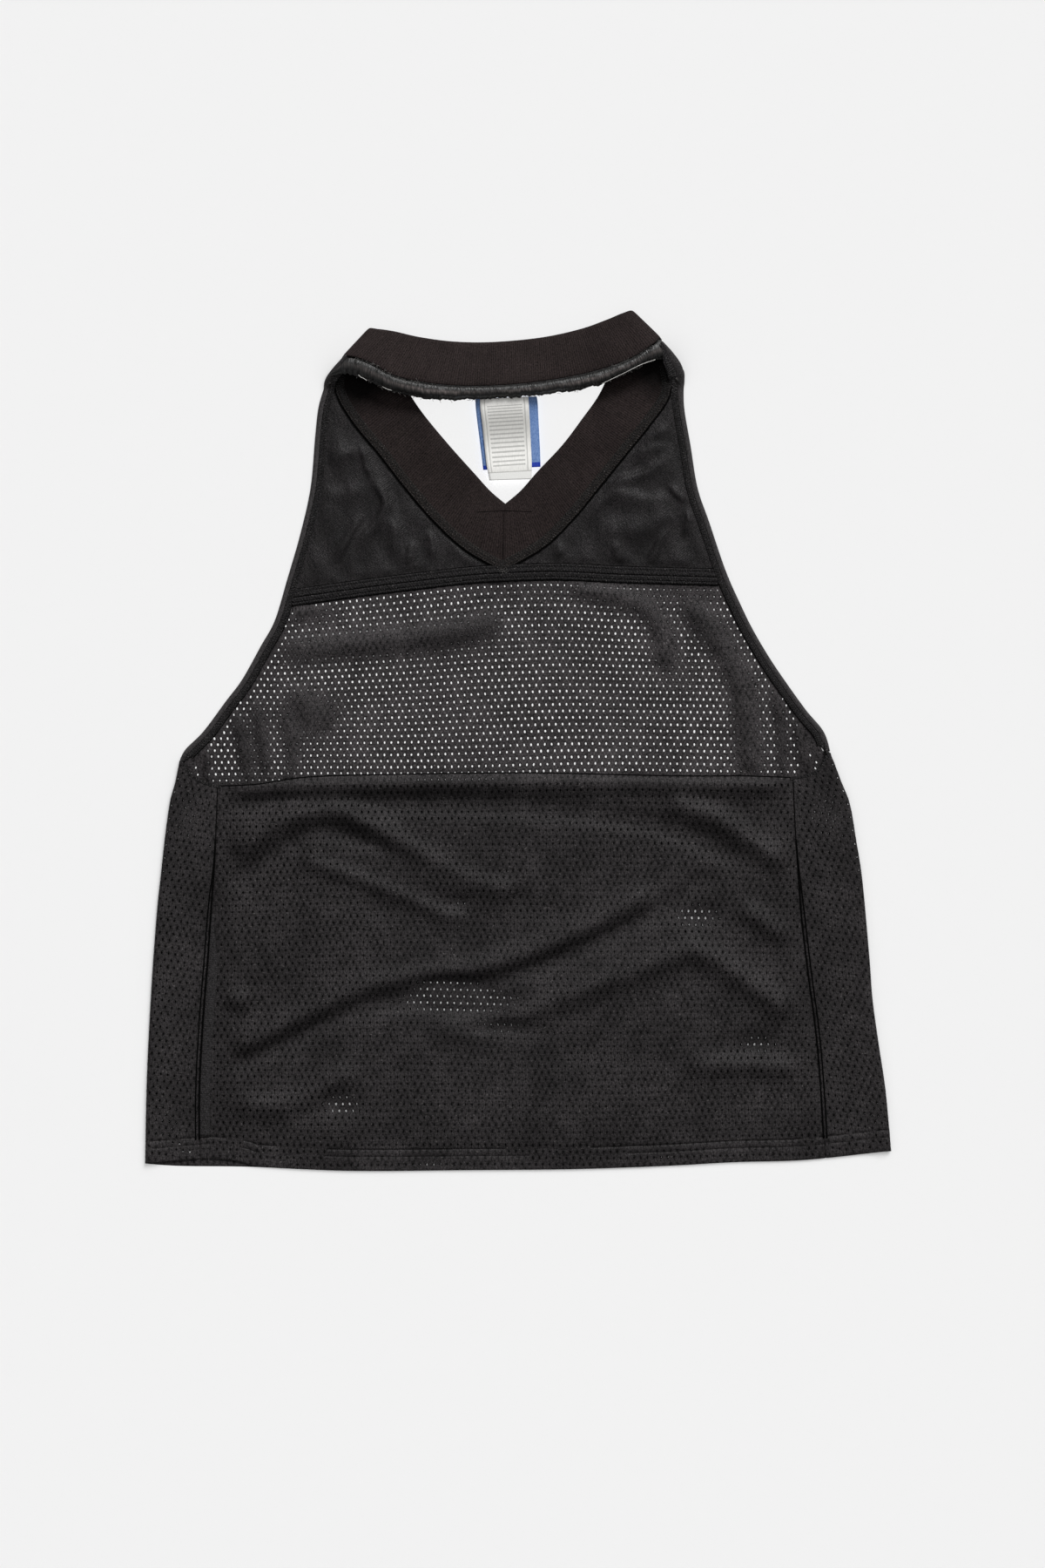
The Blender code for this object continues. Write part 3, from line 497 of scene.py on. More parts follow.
def border_fill(outline, net, edges, grooves):
    """Triangles between the outline and the uneven edge of the cells, whose ends in net are edges.

    Gives points, triangles, the inputs that each point comes from, and the net's points among the inputs. These
    come first and the outline next. Lines of points along the grooves make their sides even.
    """
    a, b = outline, np.roll(outline, -1, axis=0)
    hole_a, hole_b = net[edges[:, 0]], net[edges[:, 1]]
    edge_points, numbered = np.unique(edges, return_inverse=True)
    turn = np.arange(len(a))
    loose = [net[edge_points], outline]
    links = [numbered.reshape(-1, 2), np.stack((turn, np.roll(turn, -1)), -1) + len(edge_points)]
    total = len(edge_points) + len(a)
    border = np.vstack((outline, outline[:1]))
    for line, _, width in grooves:
        for reach in (-1.6 * width, -0.7 * width, 0.0, 0.7 * width, 1.6 * width):
            guide = resample(offset(line, reach), GUIDE_SPACING)
            guide = guide[inside(guide, a, b) & (distance(border, guide) > 0.3)]
            if len(guide) > 1:
                run = np.arange(total, total + len(guide))
                links.append(np.stack((run[:-1], run[1:]), -1))
                loose.append(guide)
                total += len(guide)
    spread = np.meshgrid(*(np.arange(outline[:, k].min(), outline[:, k].max(), FILL_SPACING) for k in (0, 1)))
    spread = np.stack([g.ravel() for g in spread], -1)
    spread = spread[inside(spread, a, b) & ~inside(spread, hole_a, hole_b)]
    spread = spread[clear_of(spread, (border, 0.9), *((line, 1.6 * width + 0.8) for line, _, width in grooves))]
    near = np.full(len(spread), np.inf)
    for part in np.array_split(net[edge_points], max(1, len(edge_points) // 400)):
        near = np.minimum(near, np.linalg.norm(spread[:, None] - part[None], axis=2).min(1))
    flat = np.vstack(loose + [spread[near > 1.1]])
    out = delaunay_2d_cdt([Vector(p) for p in flat.tolist()], [tuple(e) for e in np.vstack(links).tolist()],
                          [], 0, 1e-4, True)
    points = np.array([tuple(p) for p in out[0]])
    triangles = np.array([f for f in out[2] if len(f) == 3])
    middle = points[triangles].mean(1)
    return points, triangles[inside(middle, a, b) & ~inside(middle, hole_a, hole_b)], out[3], edge_points


def net_sheet(name, outline, keep, place, warp, opening, grooves=(), rim=0.35):
    """A sheet of eyelet mesh. The eyelets are real holes in whole cells; the rest is filled up to the outline.

    outline is a closed loop in the sheet's own plan, keep says which cell centres may have an eyelet, warp moves
    the even net's points in that plan, place puts points of the plan into space, opening gives the eyelets' sizes,
    and a groove is (line, depth, half width).
    """
    cell, keys, centre, corner, net = whole_cells(outline, keep, warp)
    eyelet = eyelet_outlines(cell, centre, opening)
    first, second = len(net), len(net) + len(eyelet)
    hole = np.arange(first, second).reshape(-1, 8)
    quads = np.stack((corner, np.roll(corner, -1, axis=1), np.roll(hole, -1, axis=1), hole), -1)
    quads = quads.swapaxes(0, 1).reshape(-1, 4)
    _, where, uses = np.unique(np.sort(quads[:, :2], axis=1), axis=0, return_index=True, return_counts=True)
    fill, triangles, origins, edge_points = border_fill(outline, net, quads[where[uses == 1], :2], grooves)
    number, extra, outline_at = np.full(len(fill), -1), [], {}
    for i, inputs in enumerate(origins):
        for k in inputs:
            if k < len(edge_points):
                number[i] = edge_points[k]
        if number[i] < 0:
            number[i] = second + len(extra)
            extra.append(i)
        for k in inputs:
            if len(edge_points) <= k < len(edge_points) + len(outline):
                outline_at[k - len(edge_points)] = number[i]
    fill = fill[extra]
    plan = np.vstack((net, eyelet, fill))
    base = np.vstack((keys / 2, np.repeat(cell / 2, 8, axis=0) + (eyelet - np.repeat(centre, 8, axis=0)) / PITCH,
                      (fill - (warp(fill) - fill) - NET_ORIGIN) / PITCH))
    points = place(plan)
    points[first:second, 2] -= DIMPLE
    for line, depth, width in grooves:
        points[:, 2] -= depth * np.exp(-(distance(line, plan) / width) ** 2)
    order = [outline_at[k] for k in range(len(outline)) if k in outline_at]
    rings, rim_faces = turned_rim(points, plan, order, place, rim)
    return make(name, np.vstack([points] + rings), quads.tolist() + number[triangles].tolist() + rim_faces, MESH,
                np.vstack([base] + [base[order]] * 3))


def turned_rim(points, plan, order, place, rim):
    """The outline turned down, so that a sheet's edge has thickness: rings of points, and the faces to them."""
    here, at = plan[order], points[order]
    direction = unit(np.roll(here, -1, axis=0) - np.roll(here, 1, axis=0))
    outward = unit(place(here + np.stack((direction[:, 1], -direction[:, 0]), -1) * 0.01) - place(here))
    rings, faces = [], []
    previous = np.array(order)
    for reach, drop in ((0.16, 0.12), (0.2, rim * 0.8), (-0.25, rim)):
        ring = at + outward * reach
        ring[:, 2] = np.maximum(ring[:, 2] - drop, 0.03)
        current = len(points) + len(order) * len(rings) + np.arange(len(order))
        rings.append(ring)
        faces += zip(previous, current, np.roll(current, -1), np.roll(previous, -1))
        previous = current
    return rings, faces


# ---- Materials ---------------------------------------------------------------------------------------------
def linear(*values):
    """Linear colour of a colour in screen values from 0 to 255."""
    return tuple(((v / 255 + 0.055) / 1.055) ** 2.4 if v > 10 else v / 255 / 12.92 for v in values) + (1.0,)


class Nodes:
    """A small builder of node materials."""

    def __init__(self, name, **sockets):
        self.material = bpy.data.materials.new(name)
        self.material.use_nodes = True
        self.tree = self.material.node_tree
        self.shader = self.tree.nodes["Principled BSDF"]
        for socket, value in sockets.items():
            self.shader.inputs[socket.replace("_", " ")].default_value = value

    def put(self, socket, value):
        if isinstance(value, bpy.types.NodeSocket):
            self.tree.links.new(value, socket)
        else:
            socket.default_value = value

    def node(self, kind, inputs, **settings):
        """Outputs of a new shader node."""
        node = self.tree.nodes.new("ShaderNode" + kind)
        for key, value in settings.items():
            setattr(node, key, value)
        for key, value in inputs.items():
            self.put(node.inputs[key], value)
        return node.outputs

    def math(self, operation, a, b=0.0):
        return self.node("Math", {0: a, 1: b}, operation=operation)[0]

    def times(self, *values):
        return functools.reduce(functools.partial(self.math, "MULTIPLY"), values)

    def sum(self, *terms):
        """Sum of terms. A term is a value, or a pair of a value and its weight."""
        values = [self.times(*term) if isinstance(term, tuple) else term for term in terms]
        return functools.reduce(functools.partial(self.math, "ADD"), values)

    def mix(self, factor, a, b, blend="MIX"):
        return self.node("Mix", {0: factor, 6: a, 7: b}, data_type="RGBA", blend_type=blend)[2]

    def scaled(self, colour, *factors):
        """The colour times factors that vary over the surface."""
        factor = self.times(*factors)
        return self.mix(1.0, colour, self.node("CombineColor", {0: factor, 1: factor, 2: factor})[0], "MULTIPLY")

    def remap(self, value, low, high, to_low=0.0, to_high=1.0):
        return self.node("MapRange", {0: value, 1: low, 2: high, 3: to_low, 4: to_high})[0]

    def place(self, scale, source="Object", rotation=0.0):
        return self.node("Mapping", {"Vector": self.node("TexCoord", {})[source], "Scale": scale,
                                     "Rotation": (0.0, 0.0, rotation)})[0]

    def split(self, vector):
        return tuple(self.node("SeparateXYZ", {0: vector}))

    def uv(self):
        return self.split(self.node("TexCoord", {})["UV"])[:2]

    def noise(self, scale, source="Object", rotation=0.0, detail=1.0, roughness=0.5):
        return self.node("TexNoise", {"Vector": self.place(scale, source, rotation), "Scale": 1.0, "Detail": detail,
                                      "Roughness": roughness})["Fac"]

    def painted_band_shadow(self):
        """Painted shadow: darker colour on the legs of the neck band where they run on under its back part."""
        where = self.node("TexCoord", {})["Object"]
        low = self.remap(self.split(where)[2], 0.0030, 0.0042)
        rings = []
        for x, y, near, far in ((0.091, 0.240, 0.009, 0.026), (-0.104, 0.231, 0.010, 0.026)):
            apart = self.node("VectorMath", {0: where, 1: (x, y, 0.001)}, operation="DISTANCE")["Value"]
            rings.append(self.math("MAXIMUM", low, self.remap(apart, near, far, 0.12, 1.0)))
        return self.times(*rings)

    def wave(self, value, period):
        """Cosine of a value in its own units."""
        return self.math("COSINE", self.times(value, math.tau / period))

    def bump(self, height, distance_m, strength=1.0, normal=None):
        inputs = {"Height": height, "Distance": distance_m, "Strength": strength}
        if normal is not None:
            inputs["Normal"] = normal
        return self.node("Bump", inputs)[0]

    def finish(self, colour, normal=None, roughness=None):
        for socket, value in (("Base Color", colour), ("Normal", normal), ("Roughness", roughness)):
            if value is not None:
                self.put(self.shader.inputs[socket], value)
        return self.material


def mesh_cloth():
    """Knit of the net. Its uv counts eyelets across and rows up. Cloth lying singly on the paper is painted lighter,
    for the light that the paper sends up through it; the eyelets' rims carry painted shade and the yarn painted glints.
    """
    n = Nodes("athletic_mesh_knit", Specular_IOR_Level=0.09)
    u, v = n.uv()
    half = n.times(v, 0.5)
    diagonals = [n.wave(n.math(op, u, half), 1.0) for op in ("ADD", "SUBTRACT")]
    lines = n.remap(n.math("MAXIMUM", *diagonals), 0.5, 1.0)
    cells = n.times(n.wave(u, 1.0), n.wave(v, 2.0))          # 1 at eyelets, -1 half way between them
    loops = n.times(n.wave(n.sum(u, (v, 0.25)), 0.25), n.wave(v, 0.25))
    yarn, courses = n.noise((1250.0, 950.0, 900.0)), n.noise((260.0, 1500.0, 900.0))
    streak = n.times(lines, n.remap(n.noise((110.0, 90.0, 90.0)), 0.42, 0.64))
    knit = n.sum((n.remap(yarn, 0.25, 0.75), 0.62), (n.remap(courses, 0.25, 0.75), 0.32), (loops, 0.06),
                 (cells, -0.20), (streak, 0.44))
    colour = n.mix(n.remap(knit, 0.12, 1.0), linear(10, 9, 9), linear(60, 57, 58))
    # Painted glints: light specks for the sheen of the yarn.
    painted_glints = n.remap(n.noise((600.0, 600.0, 600.0)), 0.70, 0.76)
    colour = n.mix(n.times(painted_glints, 0.35), colour, linear(110, 106, 106))
    # Painted shade: the colour darkens round each eyelet.
    painted_rim_shade = n.remap(cells, 0.62, 0.84, 1.0, 0.4)
    # Painted light: the colour is made lighter above the back's top edge, where the cloth isn't lifted, for the light
    # that the paper sends up through it.
    x, y, z = n.split(n.node("TexCoord", {})["Object"])
    ends = n.times(n.remap(x, -0.172, -0.146, 0.4, 1.0), n.remap(x, 0.158, 0.176, 1.0, 0.4))
    painted_paper_light = n.times(n.remap(y, -0.031, -0.023), n.remap(z, 0.0004, 0.0036, 1.0, 0.3), ends)
    patches = n.noise((24.0, 24.0, 24.0), detail=2.0)
    colour = n.scaled(colour, n.remap(painted_paper_light, 0.0, 1.0, 0.84, 1.46), n.remap(patches, 0.3, 0.7, 0.76, 1.26), painted_rim_shade)
    return n.finish(colour, n.bump(knit, 0.0003, 0.6), n.remap(yarn, 0.3, 0.7, 0.62, 0.48))


def satin_cloth():
    """Dull knitted satin with soft creases, painted darker in their valleys as shade."""
    n = Nodes("yoke_satin_knit", Specular_IOR_Level=0.17)
    yarn = n.noise((1500.0, 560.0, 900.0), rotation=0.5)
    fine = n.noise((1000.0, 1300.0, 900.0), rotation=-0.3)
    patches = n.noise((30.0, 30.0, 30.0), detail=2.0)
    creases = n.noise((100.0, 44.0, 60.0), rotation=0.75, detail=2.0)
    twill = n.wave(n.split(n.place((1.0, 1.0, 1.0), rotation=0.9))[0], 0.00125)
    shade = n.sum(yarn, (fine, 0.7), (twill, 0.09))
    colour = n.mix(n.remap(shade, 0.55, 1.2), linear(3, 3, 3), linear(42, 39, 40))
    # Painted shade: the colour darkens where the crease bump runs low.
    colour = n.scaled(colour, n.remap(patches, 0.3, 0.7, 0.74, 1.15), n.remap(creases, 0.36, 0.52, 0.74, 1.05))
    small = n.bump(shade, 0.0004, 0.8)
    return n.finish(colour, n.bump(creases, 0.0026, 0.42, small), n.remap(yarn, 0.3, 0.7, 0.56, 0.44))


def strip_cloth():
    """Satin gathered into fine wrinkles across the strip, with painted shade in the wrinkles' valleys and a painted
    sheen along the middle of the roll. Its uv runs along the strip and across it.
    """
    n = Nodes("neck_strip_satin", Specular_IOR_Level=0.48)
    wrinkles = n.noise((1.2, 0.14, 1.0), "UV", detail=2.0, roughness=0.6)
    # Painted shade: the colour darkens where the wrinkle bump runs low.
    colour = n.mix(n.remap(wrinkles, 0.35, 0.7), linear(4, 4, 4), linear(26, 25, 24))
    _, v = n.uv()
    places = n.remap(n.noise((0.02, 0.02, 1.0), "UV"), 0.36, 0.6, 0.25, 1.0)
    # Painted sheen: a lighter band along the middle of the roll, brightest on the wrinkles' crests.
    sheen = n.times(n.remap(v, 3.2, 5.4), n.remap(v, 7.2, 5.8), places)
    colour = n.mix(n.times(sheen, n.remap(wrinkles, 0.38, 0.62, 0.15, 0.95)), colour, linear(106, 98, 96))
    small = n.bump(n.noise((1900.0, 1900.0, 1900.0)), 0.00012, 0.5)
    return n.finish(colour, n.bump(wrinkles, 0.0010, 0.7, small), n.remap(wrinkles, 0.3, 0.7, 0.46, 0.36))


def rib_cloth():
    """Fine rib knit. Its uv runs along the band and across it."""
    n = Nodes("neck_rib_knit", Specular_IOR_Level=0.06)
    u, _ = n.uv()
    ribs = n.wave(n.sum(u, (n.noise((0.16, 0.1, 1.0), "UV"), 0.7)), 1.42)
    yarn = n.noise((1.5, 0.8, 1.0), "UV", detail=2.0, roughness=0.6)
    fuzz = n.noise((1500.0, 1500.0, 1500.0))
    patches = n.noise((26.0, 26.0, 26.0), detail=2.0)
    streaks = n.noise((0.5, 0.07, 1.0), "UV", detail=2.0, roughness=0.6)
    knit = n.sum(n.remap(ribs, -1.0, 1.0, 0.0, 0.26), (yarn, 1.1))
    colour = n.mix(n.remap(n.sum(knit, (fuzz, 0.7)), 0.65, 1.4), linear(10, 8, 8), linear(53, 45, 44))
    # Painted shadow on the legs of the band under its raised back part.
    colour = n.scaled(colour, n.times(n.remap(patches, 0.3, 0.7, 0.78, 1.18), n.remap(streaks, 0.32, 0.68, 0.84, 1.13)),
                      n.painted_band_shadow())
    return n.finish(colour, n.bump(knit, 0.0003, 0.7), n.remap(fuzz, 0.3, 0.7, 0.85, 0.7))


def sewn_cloth(name, smooth_to, dark, light, plain, shaded=False):
    """Edge cloth under overlock stitches. Its uv runs along the edge and across it; it is smooth up to smooth_to."""
    n = Nodes(name, Specular_IOR_Level=0.12)
    u, v = n.uv()
    wander = n.times(n.noise((0.22, 0.3, 1.0), "UV"), 1.6)
    loops = n.remap(n.wave(n.sum(u, (v, 0.5), wander), 1.9), -1.0, 0.6)
    rows = n.remap(n.wave(n.sum(v, (wander, 0.3)), 1.7), -1.0, 1.0)
    tangle = n.noise((0.9, 0.8, 1.0), "UV", detail=2.0, roughness=0.6)
    grain = n.noise((1500.0, 1200.0, 1200.0))
    twill = n.remap(n.wave(n.sum(u, (v, 0.9)), 0.95), -1.0, 1.0)
    sewn = n.remap(v, smooth_to - 0.25, smooth_to + 0.25)
    look = n.times(n.sum(loops, (rows, 0.6)), n.remap(tangle, 0.38, 0.60))
    look = n.sum(look, n.remap(grain, 0.3, 0.75, -0.05, 0.25))
    even = n.sum((twill, 0.4), n.remap(grain, 0.3, 0.7, 0.0, 0.5))
    colour = n.mix(sewn, n.mix(even, dark, plain), n.mix(look, dark, light))
    bright = n.times(n.remap(n.noise((1.5, 1.3, 1.0), "UV"), 0.66, 0.74), sewn, 0.8)
    colour = n.mix(bright, colour, linear(120, 116, 115))
    # Painted shadow under the raised back of the neck band.
    if shaded:
        colour = n.scaled(colour, n.painted_band_shadow())
    height = n.sum((look, sewn), (even, 0.3))
    return n.finish(colour, n.bump(height, 0.0006, 0.8), n.remap(grain, 0.3, 0.7, 0.62, 0.46))


def thread(name, dark, light, roughness, level=0.3):
    """Twisted thread; level is its gloss."""
    n = Nodes(name, Specular_IOR_Level=level)
    twist = n.noise((2000.0, 2000.0, 2000.0))
    colour = n.mix(n.remap(twist, 0.35, 0.7), dark, light)
    return n.finish(colour, n.bump(twist, 0.0001, 0.6), n.remap(twist, 0.3, 0.7, roughness + 0.1, roughness))


def seam_tape():
    """Cloth doubled at the side seam: no eyelets, and fine ridges across."""
    n = Nodes("doubled_seam_knit", Specular_IOR_Level=0.1)
    ridges = n.remap(n.wave(n.uv()[0], 1.35), -1.0, 1.0)
    grain = n.noise((1300.0, 1000.0, 900.0))
    value = n.sum((ridges, 0.2), n.remap(grain, 0.3, 0.7, 0.0, 0.8))
    colour = n.mix(value, linear(18, 17, 17), linear(52, 50, 51))
    return n.finish(colour, n.bump(value, 0.0003, 0.7), n.remap(grain, 0.3, 0.7, 0.66, 0.5))


def size_tape():
    """Woven blue tape with a darker bar at its end. Its v runs from strip to end, from 0 to 1."""
    n = Nodes("size_label_weave", Specular_IOR_Level=0.3)
    weave = n.noise((1500.0, 1000.0, 1000.0))
    shade = n.remap(weave, 0.3, 0.7)
    light = n.mix(shade, linear(84, 114, 166), linear(114, 142, 188))
    deep = n.mix(shade, linear(8, 40, 142), linear(22, 58, 166))
    colour = n.mix(n.remap(n.uv()[1], 0.895, 0.905), light, deep)
    return n.finish(colour, n.bump(weave, 0.00008, 0.7), n.remap(weave, 0.0, 1.0, 0.62, 0.5))


def care_tape():
    """White satin tape with plain thin rules, bare of any text, and painted sheen in bands across it."""
    n = Nodes("care_label_satin", Specular_IOR_Level=0.4)
    u, v = n.uv()
    line = n.math("LESS_THAN", n.math("FRACT", n.times(v, 24.0)), 0.36)
    field = n.times(n.math("GREATER_THAN", u, 0.14), n.math("LESS_THAN", u, 0.86), n.math("GREATER_THAN", v, 0.14),
                    n.math("LESS_THAN", v, 0.82))
    side = n.math("ABSOLUTE", n.math("SUBTRACT", u, 0.5))
    border = n.math("LESS_THAN", n.math("ABSOLUTE", n.math("SUBTRACT", side, 0.41)), 0.012)
    border = n.times(border, n.math("LESS_THAN", v, 0.87))
    fold = n.math("LESS_THAN", n.math("ABSOLUTE", n.math("SUBTRACT", v, 0.875)), 0.006)
    marks = n.math("MAXIMUM", n.times(line, field, 0.5), n.times(n.math("MAXIMUM", border, fold), 0.42))
    weave = n.noise((1800.0, 420.0, 900.0), detail=2.0)
    # Painted sheen: lighter bands across the tape.
    sheen = n.sum((n.wave(n.math("SUBTRACT", v, 0.12), 0.62), 0.5), 0.5)
    paper = n.scaled(n.mix(sheen, linear(196, 195, 191), linear(240, 239, 235)), n.remap(weave, 0.3, 0.7, 0.9, 1.04))
    paper = n.mix(n.remap(v, 0.875, 0.885), paper, linear(226, 226, 223))
    colour = n.mix(marks, paper, linear(108, 108, 106))
    return n.finish(colour, n.bump(weave, 0.00018, 0.6), n.remap(weave, 0.0, 1.0, 0.42, 0.3))


MESH, SATIN, RIB, STRIP_SATIN = mesh_cloth(), satin_cloth(), rib_cloth(), strip_cloth()
SEWING = thread("black_sewing_thread", linear(8, 8, 8), linear(44, 42, 42), 0.5, 0.25)
# The groove material is no thread: its dark tubes paint the shade in seam grooves and along edges.
GROOVE_SHADE = thread("seam_groove_painted_shade", linear(3, 3, 3), linear(9, 9, 9), 0.8, 0.02)
FUZZ = thread("white_thread", linear(170, 168, 164), linear(225, 224, 220), 0.6)
FRAY = thread("frayed_satin_thread", linear(24, 23, 23), linear(120, 117, 115), 0.45)
HEM_CLOTH = sewn_cloth("armhole_hem_stitched", 3.3, linear(6, 6, 6), linear(56, 54, 55), linear(78, 75, 76))
BAND_CLOTH = sewn_cloth("yoke_band_stitched", -9.0, linear(6, 6, 6), linear(48, 46, 47), linear(40, 38, 39))
RIB_EDGE = sewn_cloth("neck_rib_overlocked", -9.0, linear(5, 4, 4), linear(50, 45, 43), linear(40, 38, 39), shaded=True)
SEAM_TAPE, SIZE_TAPE, CARE_TAPE = seam_tape(), size_tape(), care_tape()


# ---- Panels ------------------------------------------------------------------------------------------------
def sway(points):
    """Soft unevenness of the net, the same in every layer."""
    x, y = points[:, 0], points[:, 1]
    return np.stack((0.9 * np.sin(x / 61 + y / 47) + 0.5 * np.sin(y / 23 + x / 90),
                     1.1 * np.sin(x / 83 - y / 52) + 0.5 * np.sin(x / 31 + y / 70)), -1)


def back_warp(points):
    return points + sway(points)


def front_warp(points):
    """The front's rows bend to the yoke seam above; below, they lie half a pitch from those of the back."""
    top, back_edge = 107.0, -22.0
    bend = np.interp(points[:, 0], YOKE_SEAM_LINE[:, 0], YOKE_SEAM_LINE[:, 1]) - top
    up = np.clip((points[:, 1] - back_edge) / (top - back_edge), 0, 1.1)
    moved = points + sway(points)
    together = np.clip(1.25 * pressed(moved), 0, 1)
    moved[:, 1] += bend * up
    moved[:, 0] += PITCH[0] / 2 * (1 - together) * ease((back_edge - points[:, 1]) / 9.0)
    return moved


def closed(*lines):
    """One closed loop from lines that follow each other."""
    return np.vstack([resample(line, EDGE_SPACING)[:-1] for line in lines])


def with_z(points, z):
    """Points of the plan at a height, or at one height each."""
    return np.column_stack((points, np.broadcast_to(z, len(points))))


def above(height, *bases):
    """Heights that lie a little over the sum of the given heights."""
    return lambda p: sum(base(p) for base in bases) + height


def off_stitches(above_hem):
    """Whether an eyelet keeps clear of both lines of stitches of the hem."""
    return np.all([np.abs(above_hem - up) > room for up, _, _, room in HEM_ROWS], axis=0)


def hem_grooves(hem):
    """The grooves that the hem's two lines of stitches press into the cloth."""
    return [(offset(hem, up), depth, width) for up, depth, width, _ in HEM_ROWS]


def parted(seam, side, reach):
    """One of the two lines of stitches beside a back seam. They run together towards the top."""
    apart = abs(reach) * ease((SEAM_SPLIT - seam[:, 1]) / 60.0)
    return seam + (offset(seam, math.copysign(1.0, reach) * side) - seam) * apart[:, None]


def twin_line(side):
    return parted(resample(BACK_SEAMS[side], 2.0), side, 1.3)


def front_panel():
    borders = {side: np.vstack((FRONT_SEAMS[side][:-1],
                                span(ARMHOLES[side], FRONT_SEAMS[side][-1][1], YOKE_ENDS[side][1], 1)))
               for side in NAMES}
    hem = span(HEM_FRONT_LINE, FRONT_SEAMS[LEFT][0][0], FRONT_SEAMS[RIGHT][0][0], 0)
    outline = closed(hem, borders[RIGHT], YOKE_SEAM_LINE[::-1], borders[LEFT][::-1])

    def keep(p):
        return clear_of(p, (FRONT_SEAMS[LEFT], 3.0), (FRONT_SEAMS[RIGHT], 3.0), (ARMHOLES[LEFT], 7.5),
                        (ARMHOLES[RIGHT], 7.5), (YOKE_SEAM_LINE, 6.6), (hem, 3.0))
    return net_sheet("cloth_front", outline, keep, lambda p: with_z(p, front_height(p)), front_warp,
                     front_opening, rim=0.16)


def back_panel():
    hem = span(HEM_BACK_LINE, BACK_SEAMS[LEFT][0][0], BACK_SEAMS[RIGHT][0][0], 0)
    outline = closed(hem, BACK_SEAMS[RIGHT], BACK_TOP_LINE[::-1], BACK_SEAMS[LEFT][::-1])
    grooves = hem_grooves(hem) + [(twin_line(side), 0.9, 0.6) for side in NAMES]

    def keep(p):
        left_room = 3.0 + 6.2 * ease((-66.0 - p[:, 1]) / 60.0)       # room for the doubled strip
        right_room = 2.4 + 3.2 * ease((SEAM_SPLIT - p[:, 1]) / 90.0)
        clear = clear_of(p, (BACK_SEAMS[LEFT], left_room), (BACK_SEAMS[RIGHT], right_room), (hem, 2.4),
                         (BACK_TOP_LINE, 3.2))
        return clear & off_stitches(distance(hem, p))
    return net_sheet("cloth_back", outline, keep, lambda p: with_z(p, back_height(p)), back_warp, back_opening,
                     grooves)


def side_panel(side):
    """One side panel, round the side edge. Its own plan is (s, y), s from the side edge, minus on the back."""
    turn_radius = 2.3
    turn_half = math.pi * turn_radius / 2
    edge = SIDE_LINES[side]
    slope = (edge[-1] - edge[-4]) / (edge[-1, 1] - edge[-4, 1])
    edge = np.vstack((edge[0] - (edge[4] - edge[0]) * 3, edge, edge[-1] + slope * 40.0))

    def turn_x(y):
        return np.interp(y, edge[:, 1], edge[:, 0]) - side * turn_radius

    def to_sheet(line, layer):
        """layer is -1 for the back and 1 for the front."""
        return np.stack((layer * (np.abs(turn_x(line[:, 1]) - line[:, 0]) + turn_half), line[:, 1]), -1)

    def place(p):
        s, y = p[:, 0], p[:, 1]
        x = turn_x(y) - side * np.maximum(np.abs(s) - turn_half, 0.0)
        flat = np.stack((x, y), -1)
        high, low = back_height(flat), front_height(flat)
        angle = np.clip((s + turn_half) / (2 * turn_half), 0, 1) * math.pi
        x = x + side * turn_radius * np.sin(angle)
        return np.stack((x, y, (high + low) / 2 + (high - low) / 2 * np.cos(angle)), -1)

    def warp(p):
        """Rows slant down from the seam, and the front's eyelets lie between those of the back."""
        moved = p + 0.6 * sway(p)
        moved[:, 1] += side * 0.16 * np.abs(p[:, 0])
        moved[:, 0] += PITCH[0] / 2 * ease((p[:, 0] - 0.5) / 3.0)
        return moved

    def drawn(p):
        """The eyelets are narrow at the side edge and on the hidden half."""
        return 0.98 - 0.36 * np.exp(-(p[:, 0] / 5.0) ** 2) - 0.12 * ease(p[:, 0] / 6.0)

    hem_x = edge[1][0] - side * turn_radius
    hems = []
    for layer, hem, seam in ((-1, HEM_BACK_LINE, BACK_SEAMS[side]), (1, HEM_FRONT_LINE, FRONT_SEAMS[side])):
        hem = span(hem, *sorted((seam[0][0], hem_x)), 0)
        hems.append(to_sheet(hem if side > 0 else hem[::-1], layer))          # from the seam to the side edge
    top_back = to_sheet(SIDE_TOPS[side], -1)
    armhole = to_sheet(span(ARMHOLES[side], top_back[-1][1] + 2.5, FRONT_SEAMS[side][-1][1], 1), 1)
    seam_back, seam_front = to_sheet(BACK_SEAMS[side], -1), to_sheet(FRONT_SEAMS[side], 1)
    hem_line = np.vstack((hems[0], hems[1][::-1]))
    outline = closed(hem_line, seam_front, np.vstack((top_back, armhole))[::-1], seam_back[::-1])

    def keep(p):
        above_hem = distance(hem_line, p)
        clear = clear_of(p, (seam_back, 3.0), (seam_front, 2.2), (top_back, 2.8), (armhole, 5.0))
        clear &= (above_hem > 2.4) & ((p[:, 0] < 2.0) | (above_hem > 18.0))
        return clear & (np.linalg.norm(p - armhole[0], axis=1) > 9.0) & off_stitches(above_hem)
    return net_sheet(f"cloth_side_{NAMES[side]}", outline, keep, place, warp, drawn, hem_grooves(hem_line), 0.25)


RING_STEPS = 14                                       # points of a rail between two stations of the neck ring
SHOULDER_STATIONS = {LEFT: 8, RIGHT: 18}              # where the ring turns over each shoulder
INNER_RAIL, OUTER_RAIL = (smooth(NECK_RING[:, k:k + 3], RING_STEPS) for k in (0, 3))
for rail in (INNER_RAIL, OUTER_RAIL):
    rail[:, 2] = np.maximum(rail[:, 2], 0.8)


